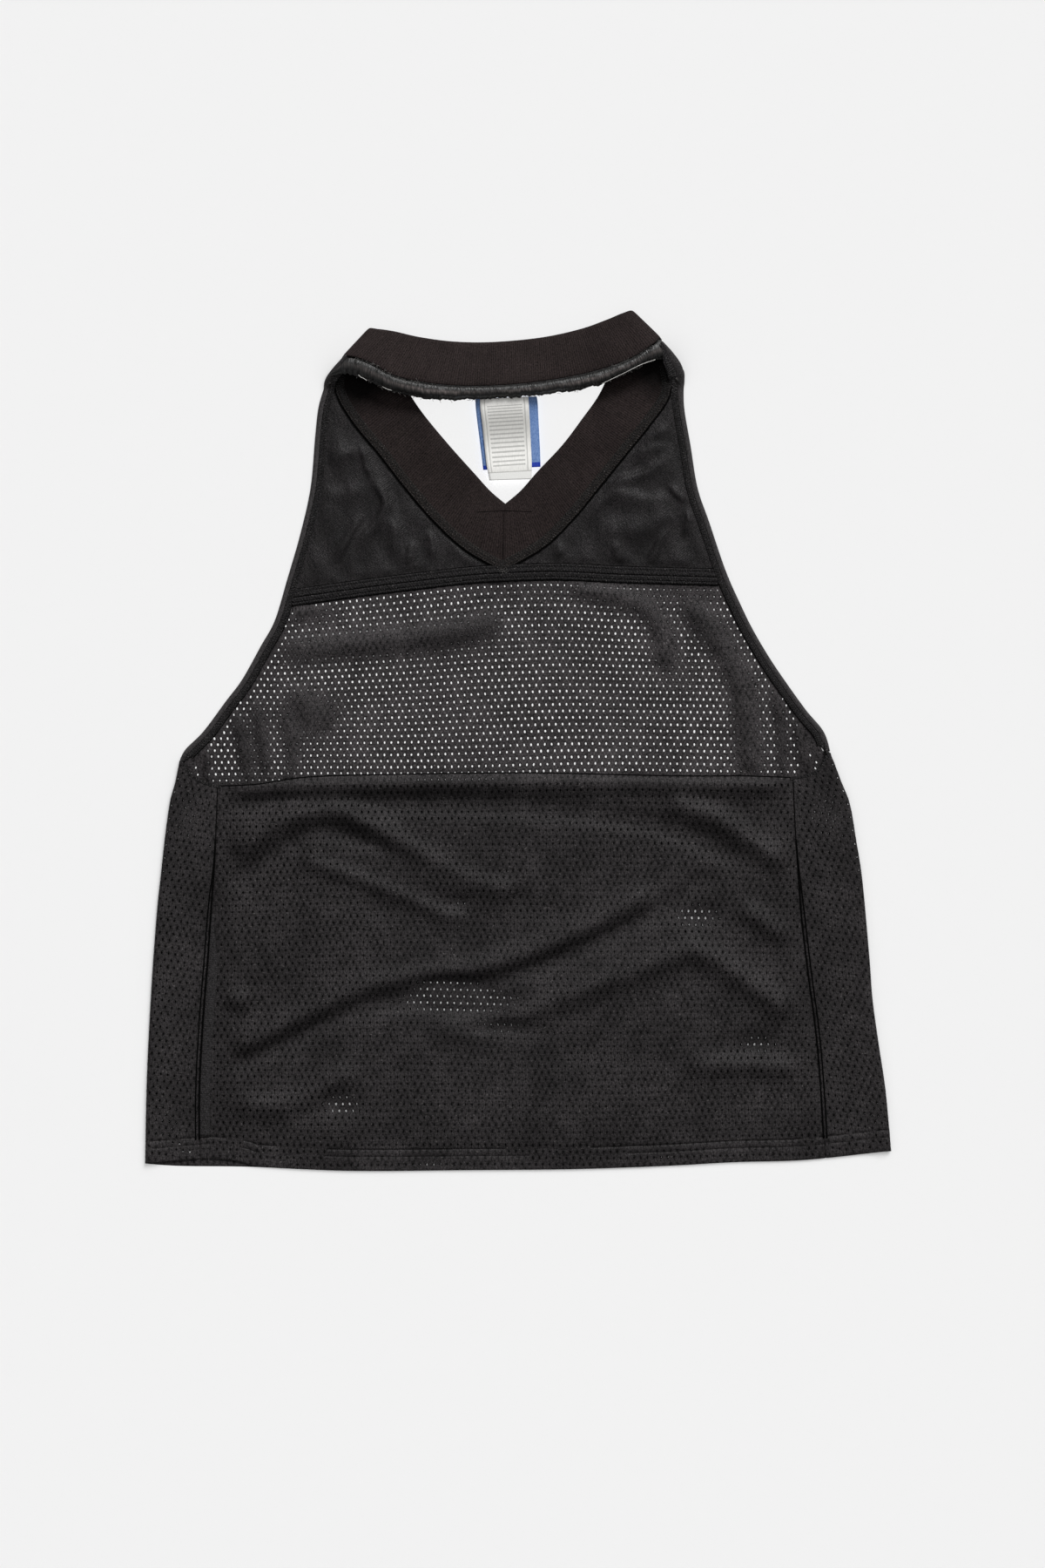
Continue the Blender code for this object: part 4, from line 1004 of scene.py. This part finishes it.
def loft(name, lower, upper, thickness, material, columns, roundness, bulge=None, ring=False, even=False):
    """A closed flat band between two rails, with rounded edges. bulge gives its swell at shares across."""
    share = np.linspace(0, 1, columns) if even else (1 - np.cos(np.linspace(0, math.pi, columns))) / 2
    middle = lower[:, None] + (upper - lower)[:, None] * share[None, :, None]
    ahead = np.gradient(middle, axis=0)
    if ring:
        ahead[0] = ahead[-1] = middle[1] - middle[-2]
    normal = unit(np.cross(ahead, (upper - lower)[:, None]))
    if bulge is not None:
        middle = middle + bulge(share)
    half = thickness / 2 * (1 - np.abs(2 * share - 1) ** roundness) ** 0.5
    top = middle + normal * half[None, :, None]
    under = (middle - normal * half[None, :, None])[:, ::-1][:, 1:-1]
    body = np.concatenate((top, under), axis=1)
    if ring:
        body = body[:-1]
    rows, around = body.shape[:2]
    run = running((lower + upper) / 2)[:rows]
    across = np.concatenate((share, share[::-1][1:-1])) * np.linalg.norm(upper - lower, axis=1).mean()
    return make(name, body.reshape(-1, 3), grid_faces(rows, around, ring=ring, tube=True), material,
                grid_uv(run[:, None], across[None]))


def neck_rib():
    return loft("cloth_neck_rib", INNER_RAIL, OUTER_RAIL, 1.6, RIB, 12, 10, ring=True)


def strip_rails(count):
    """Rails of the strip: its raw lower edge, and its upper edge tucked under the rib band."""
    upper = OUTER_RAIL[int(STRIP[0, 0]) * RING_STEPS:int(STRIP[-1, 0]) * RING_STEPS + 1].copy()
    lower = smooth(STRIP[:, 1:], RING_STEPS)
    upper += unit(upper - lower) * 0.9
    upper[:, 2] = np.maximum(upper[:, 2] - 2.6, 0.6)
    share = np.linspace(0, 1, count)
    return along(lower, share), along(upper, share)


def back_strip():
    """A swollen roll of gathered satin over a thin raw lip."""
    count = 360
    lower, upper = strip_rails(count)
    run = running(lower)
    ragged = np.convolve(RANDOM.standard_normal(count + 4), (0.25, 0.5, 0.25), "same")[2:-2]
    lower[:, 1] += 0.5 * ragged + 0.3 * np.sin(run / 3.1)
    phases = RANDOM.uniform(0, math.tau, 5)
    wrinkles = ((0.07, 2.3), (0.10, 3.1), (0.12, 4.7), (0.13, 7.9), (0.15, 13.0))     # height, length

    def bulge(share):
        swell = np.zeros((count, len(share), 3))
        roll = np.clip(1 - ((share - 0.53) / 0.43) ** 2, 0, 1) ** 0.7
        wrinkle = sum(height * np.sin(run[:, None] * math.tau / long + phase + 3.0 * share[None])
                      for (height, long), phase in zip(wrinkles, phases))
        swell[..., 2] = roll[None] * (2.7 + wrinkle) - 0.5 * np.exp(-((share[None] - 0.13) / 0.06) ** 2)
        swell[..., 1] = -0.35 * roll[None]
        return swell
    return loft("cloth_back_strip", lower, upper, 0.7, STRIP_SATIN, 17, 8, bulge, even=True)


# Where the armhole edges run on over the shoulder folds. Columns: x, y, z
SHOULDER = {
    LEFT: np.array(((-124.5, 226.5, 0.3), (-124.3, 229.5, 1.8), (-122.6, 233.6, 4.4), (-118.4, 238.8, 7.4),
                    (-113.6, 243.8, 9.8), (-110.2, 247.4, 10.6))),
    RIGHT: np.array(((106.5, 226.5, 0.3), (106.9, 230.6, 1.8), (106.6, 235.4, 4.2), (104.2, 242, 7),
                     (98.6, 249.4, 9.4), (92.8, 255.6, 10.6))),
}
# Height of the rib's outer edge where it turns over the shoulder. Columns: y, z
RIB_TURN = {LEFT: np.array(((226.0, 0.0), (232.0, 0.8), (244.5, 6.2), (247.4, 8.6))),
            RIGHT: np.array(((230.0, 0.0), (238.0, 0.8), (257.0, 6.6)))}


def yoke(side):
    turn = SHOULDER_STATIONS[side] * RING_STEPS
    v_seam = OUTER_RAIL[:turn + 1, :2] if side < 0 else OUTER_RAIL[turn:, :2][::-1]
    v_seam = offset(v_seam, side * 1.0)
    end = YOKE_ENDS[side]
    armhole = np.vstack((span(ARMHOLES[side], end[1], ARMHOLES[side][-1, 1], 1)[:-1],
                         smooth(SHOULDER[side][:, :2] - (side * 0.6, 0.3), 6)))
    tip = v_seam[0]
    fine = np.linspace(0, 1, 120)
    if side < 0:
        seam = np.vstack((span(YOKE_SEAM_LINE, end[0], tip[0], 0)[:-1], tip))
        grid = coons(seam, np.vstack((armhole[-1], v_seam[-1])), armhole, v_seam, fine)
    else:
        seam = np.vstack((tip, span(YOKE_SEAM_LINE, tip[0], end[0], 0)[1:]))
        grid = coons(seam, np.vstack((v_seam[-1], armhole[-1])), v_seam, armhole, fine)
    flat = grid.reshape(-1, 2)
    x, y = flat.T
    inner, outward = distance(v_seam, flat), distance(armhole, flat)
    held = ease((inner - 0.8) / 9.0) * ease((outward - 6.0) / 7.0)
    held = held * ease((distance(YOKE_SEAM_LINE, flat) - 5.0) / 5.0)
    soft = 0.5 + 0.30 * np.sin(x / 5.3 + y / 8.1) + 0.26 * np.sin(x / 9.0 - y / 4.9 + 1.3)
    soft += 0.20 * np.sin(x / 3.1 + y / 6.9 + 0.6 + 1.2 * np.sin(y / 17.0))
    height = 0.5 + held * (soft + YOKE_CREASES_FACTOR * folds_height(YOKE_CREASES, flat))
    share = inner / np.maximum(inner + outward, 1e-6)
    over, turned = SHOULDER[side], RIB_TURN[side]
    height += share * np.interp(y, over[:, 1], np.maximum(over[:, 2] - 0.7, 0))
    height += (1 - share) * np.interp(y, turned[:, 0], turned[:, 1])
    return make(f"cloth_yoke_{NAMES[side]}", with_z(flat, height), grid_faces(len(fine), len(fine)), SATIN, flat)


def band_along(name, line, profile, base, material, ripple=0.0, period=2.3, width=1.0):
    """A sewn-down band along a line. profile is (reach to the line's left, height over base)."""
    run = running(line)
    wide = np.ones(len(line)) * width
    rows = []
    for reach, height in profile:
        edge = line + (offset(line, 1.0) - line) * (reach * wide)[:, None]
        wave = ripple * np.sin(run * math.tau / period + 1.3 * reach) if height > 0.4 else 0.0
        rows.append(with_z(edge, base(edge, run) + height + wave))
    body = np.stack(rows, 1)
    across = np.array([reach for reach, _ in profile])
    return make(name, body.reshape(-1, 3), grid_faces(*body.shape[:2], tube=True), material,
                grid_uv(run[:, None], across[None]))


def crossing(d):
    """Two directions across each direction, the first of them level."""
    across = unit(np.cross(d, (0.0, 0.0, 1.0)))
    return across, np.cross(across, d)


def spindles(centres, directions, length, radius):
    """Short threads as slim spindles: points and faces."""
    sides = 6
    sections = ((-0.5, 0.3, -0.5), (-0.3, 0.9, 0.0), (0.0, 1.0, 0.25), (0.3, 0.9, 0.0), (0.5, 0.3, -0.5))
    d = unit(directions)
    across, up = crossing(d)
    points = []
    for reach, size, lift in sections:
        for k in range(sides):
            angle = math.tau * k / sides
            points.append(centres + d * reach * length + (across * math.cos(angle) + up * math.sin(angle))
                          * size * radius + up * lift * radius)
    one = grid_faces(len(sections), sides, tube=True)
    faces = [face for i in range(len(centres)) for face in shifted(one, i * len(points))]
    return np.stack(points, 1).reshape(-1, 3), faces


def tube(path, radius, sides=5):
    """A thread along a path: points and faces."""
    path = np.asarray(path, float)
    across, up = crossing(unit(np.gradient(path, axis=0)))
    angle = (np.arange(sides) / sides * math.tau)[:, None]
    points = path[:, None] + radius * (across[:, None] * np.cos(angle) + up[:, None] * np.sin(angle))
    return points.reshape(-1, 3), grid_faces(len(path), sides, tube=True)


def joined(name, parts, material):
    """One mesh object from parts of points and faces."""
    faces, start = [], 0
    for some, some_faces in parts:
        faces += shifted(some_faces, start)
        start += len(some)
    return make(name, np.vstack([some for some, _ in parts]), faces, material)


def groove(line, reach, height, radius, spread=0.12):
    """A dark tube that paints the shade of a seam's groove, uneven by a little."""
    line = resample(line, 1.6)
    line = offset(line, reach) + RANDOM.normal(0, spread, line.shape)
    return tube(with_z(line, height(line)), radius)


def stitch_row(line, height, spacing, length, radius, turn=0.0):
    """A row of stitches along a plan line at the heights that height gives."""
    row = resample(line, spacing)
    d = np.gradient(row, axis=0)
    c, s = math.cos(turn), math.sin(turn)
    d = np.stack((d[:, 0] * c - d[:, 1] * s, d[:, 0] * s + d[:, 1] * c), -1)
    row = row + RANDOM.normal(0, 0.06, row.shape)
    return spindles(with_z(row, height(row)), with_z(d, np.zeros(len(d))), length, radius)


def zigzag(line, height, spacing, near, far, radius):
    """Overlock thread that swings between two distances from a line."""
    row = resample(line, spacing / 2)
    reach = np.where(np.arange(len(row)) % 2 == 0, near, far)[:, None] + RANDOM.normal(0, 0.12, (len(row), 1))
    ends = offset(row, reach)
    path = np.array([a + (b - a) * t for a, b in zip(ends[:-1], ends[1:]) for t in (0.0, 0.5)])
    return tube(with_z(path, height(path) + np.tile((0.0, 0.12), len(path) // 2)), radius)


def frays(line, count, spread, length, radius):
    """Loose short curly ends of thread strewn along a line in space."""
    parts = []
    for _ in range(count):
        start = along(line, RANDOM.uniform(0, 1, 1))[0] + RANDOM.normal(0, 1, 3) * spread
        heading = RANDOM.uniform(0, math.tau)
        step = RANDOM.uniform(0.6, 1.0) * length / 4
        path = [start]
        for _ in range(4):
            heading += RANDOM.normal(0, 0.75)
            path.append(path[-1] + step * np.array((math.cos(heading), math.sin(heading), RANDOM.normal(0, 0.25))))
        parts.append(tube(path, radius, 4))
    return parts


HEM_PROFILE = ((0.0, -0.2), (-0.15, 0.3), (0.25, 0.95), (1.2, 1.3), (2.4, 1.2), (3.0, 0.8), (3.35, 0.7), (3.9, 1.05),
               (5.2, 1.15), (6.4, 1.0), (7.0, 0.55), (7.1, 0.0), (3.5, -0.15))


def armhole_hem(side):
    """Edge of the armhole from the underarm up over the shoulder fold."""
    flat = span(ARMHOLES[side], ARMHOLES[side][0, 1] + 1.0, 225.5, 1)
    over = smooth(SHOULDER[side], 6)
    line = resample(np.vstack((with_z(flat, 0.0), over)), 1.3)
    if side < 0:
        line = line[::-1]
    plan = line[:, :2]
    run = running(plan)
    end = run if side < 0 else run[-1] - run                 # run from the end on the shoulder
    start = run[-1] - end
    width = (0.5 + 0.5 * ease(end / 12.0)) * (0.5 + 0.5 * ease(start / 9.0))
    if side > 0:
        width = width * (1 + 0.5 * np.exp(-((end - 22.0) / 14.0) ** 2))

    def base(p, at):
        return np.maximum(front_height(p), np.interp(at, run, line[:, 2]))
    band = band_along(f"hem_armhole_{NAMES[side]}", plan, HEM_PROFILE, base, HEM_CLOTH, ripple=0.07, width=width)
    sewn, inner = plan[(end > 22.0) & (start > 6.0)], plan[(end > 14.0) & (start > 4.0)]
    sewing = joined(f"stitches_armhole_{NAMES[side]}",
                    [stitch_row(offset(sewn, 6.4), above(1.15, front_height), 1.5, 1.5, 0.24, 0.5),
                     stitch_row(offset(sewn, 4.1), above(1.18, front_height), 1.5, 1.4, 0.24, -0.5),
                     zigzag(sewn, above(1.22, front_height), 1.7, 3.9, 6.8, 0.15)], SEWING)
    # Painted shade: dark tubes in the grooves at the hem's two edges.
    lines = joined(f"groove_armhole_{NAMES[side]}", [groove(inner, 3.25, above(0.62, front_height), 0.24),
                                                     groove(inner, 7.2, above(0.05, front_height), 0.24)], GROOVE_SHADE)
    return band, sewing, lines


def yoke_band():
    clear = clear_of(YOKE_SEAM_LINE, (ARMHOLES[LEFT], 4.5), (ARMHOLES[RIGHT], 4.5))
    line = resample(YOKE_SEAM_LINE[clear], 1.4)
    tip = NECK_RING[0, 3:5]

    def rise(p):
        """The band climbs over the rib's point."""
        return 0.9 * np.exp(-(np.linalg.norm(p - tip, axis=1) / 16.0) ** 2)

    def over(height):
        return above(height, front_height, rise)
    profile = ((-5.0, 0.0), (-5.1, 0.4), (-4.6, 0.8), (-3.7, 0.85), (-3.1, 0.45), (-2.5, 0.85), (-1.2, 0.95),
               (-0.5, 0.8), (0.0, 0.4), (0.5, 0.8), (1.2, 0.95), (2.5, 0.85), (3.1, 0.45), (3.7, 0.85), (4.6, 0.8),
               (5.1, 0.4), (5.0, 0.0))
    band = band_along("band_yoke_seam", line, profile, lambda p, at: over(0.0)(p), BAND_CLOTH, ripple=0.05, period=1.9)
    parts = [zigzag(line, over(0.98), 1.5, low, low + 1.9, 0.13) for low in (-5.0, -2.5, 0.6, 3.2)]
    # Painted shade: dark tubes in the band's grooves.
    grooves = [groove(line, reach, over(low), radius)
               for reach, low, radius in ((-5.3, 0.1, 0.42), (-3.1, 0.5, 0.3), (0.2, 0.42, 0.38), (5.3, 0.15, 0.36))]
    return band, joined("stitches_yoke_seam", parts, SEWING), joined("groove_yoke_seam", grooves, GROOVE_SHADE)


def v_seam_sewing():
    """The rib's overlocked edge along the V, its stitches, and dark tubes that paint the shade in the seam's groove, in
    the mitre and across the point.
    """
    past = 8                                      # points of a rail over which the edge runs on under the band
    left = OUTER_RAIL[:(SHOULDER_STATIONS[LEFT] - 1) * RING_STEPS + past, :2]      # up from the point of the V
    right = OUTER_RAIL[SHOULDER_STATIONS[RIGHT] * RING_STEPS + past:, :2]          # down to the point of the V
    line = resample(np.vstack((right, left[1:])), 1.2)
    profile = ((0.1, 0.0), (0.2, 0.35), (-0.4, 0.62), (-2.2, 0.58), (-4.4, 0.5), (-5.6, 0.3), (-6.0, 0.0))
    edge = band_along("edge_v_seam", line, profile, lambda p, at: 1.45, RIB_EDGE, ripple=0.06, period=1.6)
    parts = [zigzag(line, above(2.02), 1.6, -0.5, -5.3, 0.16),
             stitch_row(offset(line, -0.5), above(2.02), 1.5, 1.3, 0.22, 0.5),
             stitch_row(offset(line, -5.3), above(1.82), 1.9, 1.5, 0.2, -0.4)]
    mitre = smooth(((-9.2, 147.5), (-9.3, 133.0), (-9.5, 117.0)), 10)
    across = smooth(((-26.0, 147.0), (-9.0, 147.8), (9.0, 147.2)), 10)
    # Painted shade: dark tubes along the seam, the mitre and across the point.
    grooves = [groove(line, 0.7, above(0.98), 0.46, 0.08), groove(mitre, 0.0, above(1.58), 0.2, 0.05),
               groove(across, 0.0, above(1.56), 0.22, 0.06)]
    return edge, joined("stitches_v_seam", parts, SEWING), joined("groove_v_seam", grooves, GROOVE_SHADE)


def body_seams():
    """The doubled strip beside the left back seam, and dark tubes that paint the shade along seams and edges of the
    body.
    """
    left = resample(BACK_SEAMS[LEFT], 2.0)
    low = left[(left[:, 1] < -110.0) & (left[:, 1] > -256.0)]
    width = 0.25 + 0.75 * ease((-110.0 - low[:, 1]) / 40.0)
    profile = ((-0.3, -0.1), (-0.3, 0.15), (-0.9, 0.3), (-3.2, 0.34), (-5.6, 0.26), (-6.5, 0.1), (-6.6, -0.1))
    tape = band_along("tape_seam_left", offset(low, -1.7), profile, lambda p, at: back_height(p), SEAM_TAPE,
                      width=width)
    lines = []
    for side in NAMES:
        seam, twin = resample(BACK_SEAMS[side], 2.0), twin_line(side)
        low = seam[(seam[:, 1] < SEAM_SPLIT) & (seam[:, 1] > -257.0)]
        twin = twin[(twin[:, 1] < -66.0) & (twin[:, 1] > -257.0)]
        lines += [groove(seam[seam[:, 1] > -66.0], 0.0, above(-0.02, back_height), 0.22, 0.04),
                  groove(parted(low, side, -0.9), 0.0, above(-0.05, back_height), 0.52, 0.04),
                  groove(twin, 0.0, above(-0.50, back_height), 0.56, 0.04)]
    # Painted shade: a dark tube under the back's top edge.
    lines.append(groove(BACK_TOP_LINE, 0.4, above(-0.5, back_height), 0.62, 0.06))
    return tape, joined("groove_body_seams", lines, GROOVE_SHADE)


def underarm_roll(side):
    """The dark rounded edge that runs from the armhole hem along the top of a side panel."""
    top = resample(SIDE_TOPS[side], 1.0)[::-1]
    hem = span(ARMHOLES[side], ARMHOLES[side][0, 1], ARMHOLES[side][0, 1] + 8.0, 1)[::-1]
    hem = offset(hem, side * -2.2)
    corner = (ARMHOLES[side][0] + top[0]) / 2 + (side * 0.1, -0.9)
    line = resample(smooth(np.vstack((hem[::8], [corner], top[2::4], top[-1:] - (side * 2.0, 0.4))), 6), 0.8)
    width = 0.3 + 0.7 * ease(running(line) / 6.0)
    if side > 0:
        line, width = line[::-1], width[::-1]

    def base(p, at):
        share = ease((at if side < 0 else at.max() - at) / 11.0)
        return (1 - share) * (front_height(p) + 0.1) + share * (back_height(p) - 0.75)
    profile = ((-1.1, -0.3), (-1.1, 0.4), (-0.7, 1.0), (0.0, 1.2), (0.7, 1.0), (1.1, 0.4), (1.1, -0.3))
    return band_along(f"roll_underarm_{NAMES[side]}", line, profile, base, BAND_CLOTH, ripple=0.05, width=width)


def label(name, table, material, wave):
    """A label that lies on the yokes, from its table of edges, with both faces and the rim between them."""
    thickness = 0.28
    left, right = smooth(table[:, (0, 1, 4)], 8), smooth(table[:, (2, 3, 4)], 8)
    share = np.linspace(0, 1, 17)
    down = np.linspace(0, 1, len(left))[:, None]
    body = left[:, None] + (right - left)[:, None] * share[None, :, None]
    body[..., 2] += wave * np.sin(share * math.pi)[None] * np.sin(down * 7.0 + share[None] * 2.0)
    under = body - (0.0, 0.0, thickness)
    rows, columns = body.shape[:2]
    count = rows * columns
    faces = grid_faces(rows, columns)
    faces += [face[::-1] for face in shifted(faces, count)]
    at = np.arange(count).reshape(rows, columns)
    loop = [*at[0], *at[1:, -1], *at[-1, -2::-1], *at[-2:0:-1, 0]]
    faces += [(b, a, a + count, b + count) for a, b in zip(loop, loop[1:] + loop[:1])]
    uv = grid_uv(share[None], down)
    return make(name, np.vstack((body.reshape(-1, 3), under.reshape(-1, 3))), faces, material, np.vstack((uv, uv)))


def loose_threads():
    """White ends of thread at the raw edge of the strip."""
    paths = (
        ((-102.0, 234.0, 12.4), (-100.4, 232.6, 12.2), (-98.6, 231.8, 12.0), (-96.6, 230.4, 12.0)),
        ((-86.6, 226.6, 11.4), (-83.6, 225.0, 11.4), (-80.6, 224.2, 11.4)),
        ((53.8, 228.3, 11.2), (61.0, 231.8, 11.8), (69.0, 235.6, 12.4), (79.0, 240.6, 12.4), (88.0, 243.8, 11.4)),
    )
    return joined("loose_threads", [tube(smooth(path, 6), 0.2) for path in paths], FUZZ)


def frayed_edge():
    """Frayed satin along the strip's raw edge, thickest at the shoulders, and the knot at the point of the V."""
    lower, upper = strip_rails(200)
    parts = frays(lower[20:172] + (0, 0.4, 0.6), 150, (0.5, 0.35, 0.25), 2.4, 0.10)
    parts += frays(upper[18:62] + (0, -2.4, 4.2), 70, (0.9, 0.8, 0.3), 2.6, 0.11)
    parts += frays(upper[150:186] + (0, -2.2, 4.0), 34, (0.8, 0.7, 0.3), 2.2, 0.10)
    parts += frays(np.array(((-12.0, 109.6, 2.7), (-6.0, 109.2, 2.7))), 26, (1.0, 0.9, 0.2), 1.8, 0.11)
    return joined("frayed_strip_edge", parts, FRAY)


cloth_front, cloth_back = front_panel(), back_panel()
cloth_side = {side: side_panel(side) for side in NAMES}
cloth_yoke = {side: yoke(side) for side in NAMES}
rib = neck_rib()
strip = back_strip()
hems = {side: armhole_hem(side) for side in NAMES}
band, band_sewing, band_grooves = yoke_band()
v_edge, v_sewing, v_grooves = v_seam_sewing()
tape, body_grooves = body_seams()
roll = {side: underarm_roll(side) for side in NAMES}
size_label = label("label_size", SIZE_LABEL, SIZE_TAPE, 0.25)
care_label = label("label_care", CARE_LABEL, CARE_TAPE, 0.35)
threads = loose_threads()
fraying = frayed_edge()

# ---- What each piece stands for ----------------------------------------------------------------------------
PIECES = (
    (cloth_front, "front_body", "athletic_mesh"), (cloth_back, "back_body", "athletic_mesh"),
    (cloth_side[-1], "side_panel_left", "athletic_mesh"), (cloth_side[1], "side_panel_right", "athletic_mesh"),
    (cloth_yoke[-1], "yoke_left", "yoke_satin"), (cloth_yoke[1], "yoke_right", "yoke_satin"),
    (rib, "neck_rib", "neck_rib_knit"), (strip, "back_neck_strip", "yoke_satin"),
    (hems[-1][0], "armhole_hem_left", "athletic_mesh"), (hems[-1][1], None, "athletic_mesh"),
    (hems[-1][2], None, "athletic_mesh"), (hems[1][0], "armhole_hem_right", "athletic_mesh"),
    (hems[1][1], None, "athletic_mesh"), (hems[1][2], None, "athletic_mesh"),
    (band, "yoke_seam_band", "yoke_satin"), (band_sewing, None, "yoke_satin"), (band_grooves, None, "yoke_satin"),
    (v_edge, None, "neck_rib_knit"), (v_sewing, None, "neck_rib_knit"), (v_grooves, None, "neck_rib_knit"),
    (tape, None, "athletic_mesh"), (body_grooves, None, "athletic_mesh"),
    (roll[-1], None, "athletic_mesh"), (roll[1], None, "athletic_mesh"),
    (size_label, "size_label", "size_label_tape"), (care_label, "care_label", "care_label_tape"),
    (threads, None, None), (fraying, None, "yoke_satin"))
for piece, node, slot in PIECES:
    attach(piece, "root")
    if node:
        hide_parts(node)

# ---- Floor, light and camera -------------------------------------------------------------------------------
floor_cloth = Nodes("studio_paper", Roughness=0.9, Specular_IOR_Level=0.0)
grain = floor_cloth.noise(floor_cloth.place((40.0, 40.0, 40.0)), detail=2.0)
paper = floor_cloth.finish(floor_cloth.mix(grain, (0.799, 0.799, 0.799, 1.0), (0.801, 0.801, 0.801, 1.0)))
reach = 3000.0
floor = make("studio_floor", [(-reach, -reach, 0), (reach, -reach, 0), (reach, reach, 0), (-reach, reach, 0)],
             [(0, 1, 2, 3)], paper, smooth_shading=False)


def group(name, pieces):
    collection = bpy.data.collections.new(name)
    for piece in pieces:
        collection.objects.link(piece)
    return collection


def sun(name, tilt, turn, strength, softness, lit, shading):
    """A distant lamp, tilt degrees from overhead, on the side that turn gives in degrees from +X.

    lit are the pieces that it lights and shading those that cast its shadows.
    """
    lamp = bpy.data.lights.new(name, "SUN")
    lamp.energy, lamp.angle = strength, math.radians(softness)
    holder = bpy.data.objects.new(name, lamp)
    t, a = math.radians(tilt), math.radians(turn)
    towards = Vector((math.sin(t) * math.cos(a), math.sin(t) * math.sin(a), math.cos(t)))
    holder.rotation_euler = towards.to_track_quat("Z", "Y").to_euler()
    holder.light_linking.receiver_collection = lit
    holder.light_linking.blocker_collection = shading
    bpy.context.scene.collection.objects.link(holder)


every = [piece for piece, _, _ in PIECES]
raised = (rib, strip, v_edge, v_sewing, v_grooves, size_label, care_label, threads, fraying)
garment = group("garment_lit", every)
body = group("garment_on_paper", [piece for piece in every if piece not in raised])
paper_only = group("paper_lit", [floor])
sun("key_cloth", 52.0, 72.0, 3.2, 18.0, garment, garment)
sun("overhead_cloth", 12.0, 60.0, 0.35, 40.0, garment, garment)
sun("dome_cloth", 4.0, 60.0, 0.55, 150.0, garment, garment)
sun("key_paper", 50.0, 62.0, 1.7, 34.0, paper_only, body)
sun("overhead_paper", 8.0, 60.0, 1.05, 40.0, paper_only, body)
sun("dome_paper", 2.0, 60.0, 1.04, 150.0, paper_only, body)
world = bpy.data.worlds.new("studio")
world.use_nodes = True
world.node_tree.nodes["Background"].inputs["Color"].default_value = (1.0, 1.0, 1.0, 1.0)
world.node_tree.nodes["Background"].inputs["Strength"].default_value = 0.1
bpy.context.scene.world = world
bpy.context.scene.view_settings.view_transform = "Standard"

camera = bpy.data.objects.new("camera", bpy.data.cameras.new("camera"))
camera.data.lens, camera.data.sensor_width = 85.0, 36.0
camera.data.clip_end = 50.0
camera.location = (0.0028, -0.0279, 2.38)
bpy.context.scene.collection.objects.link(camera)
bpy.context.scene.camera = camera
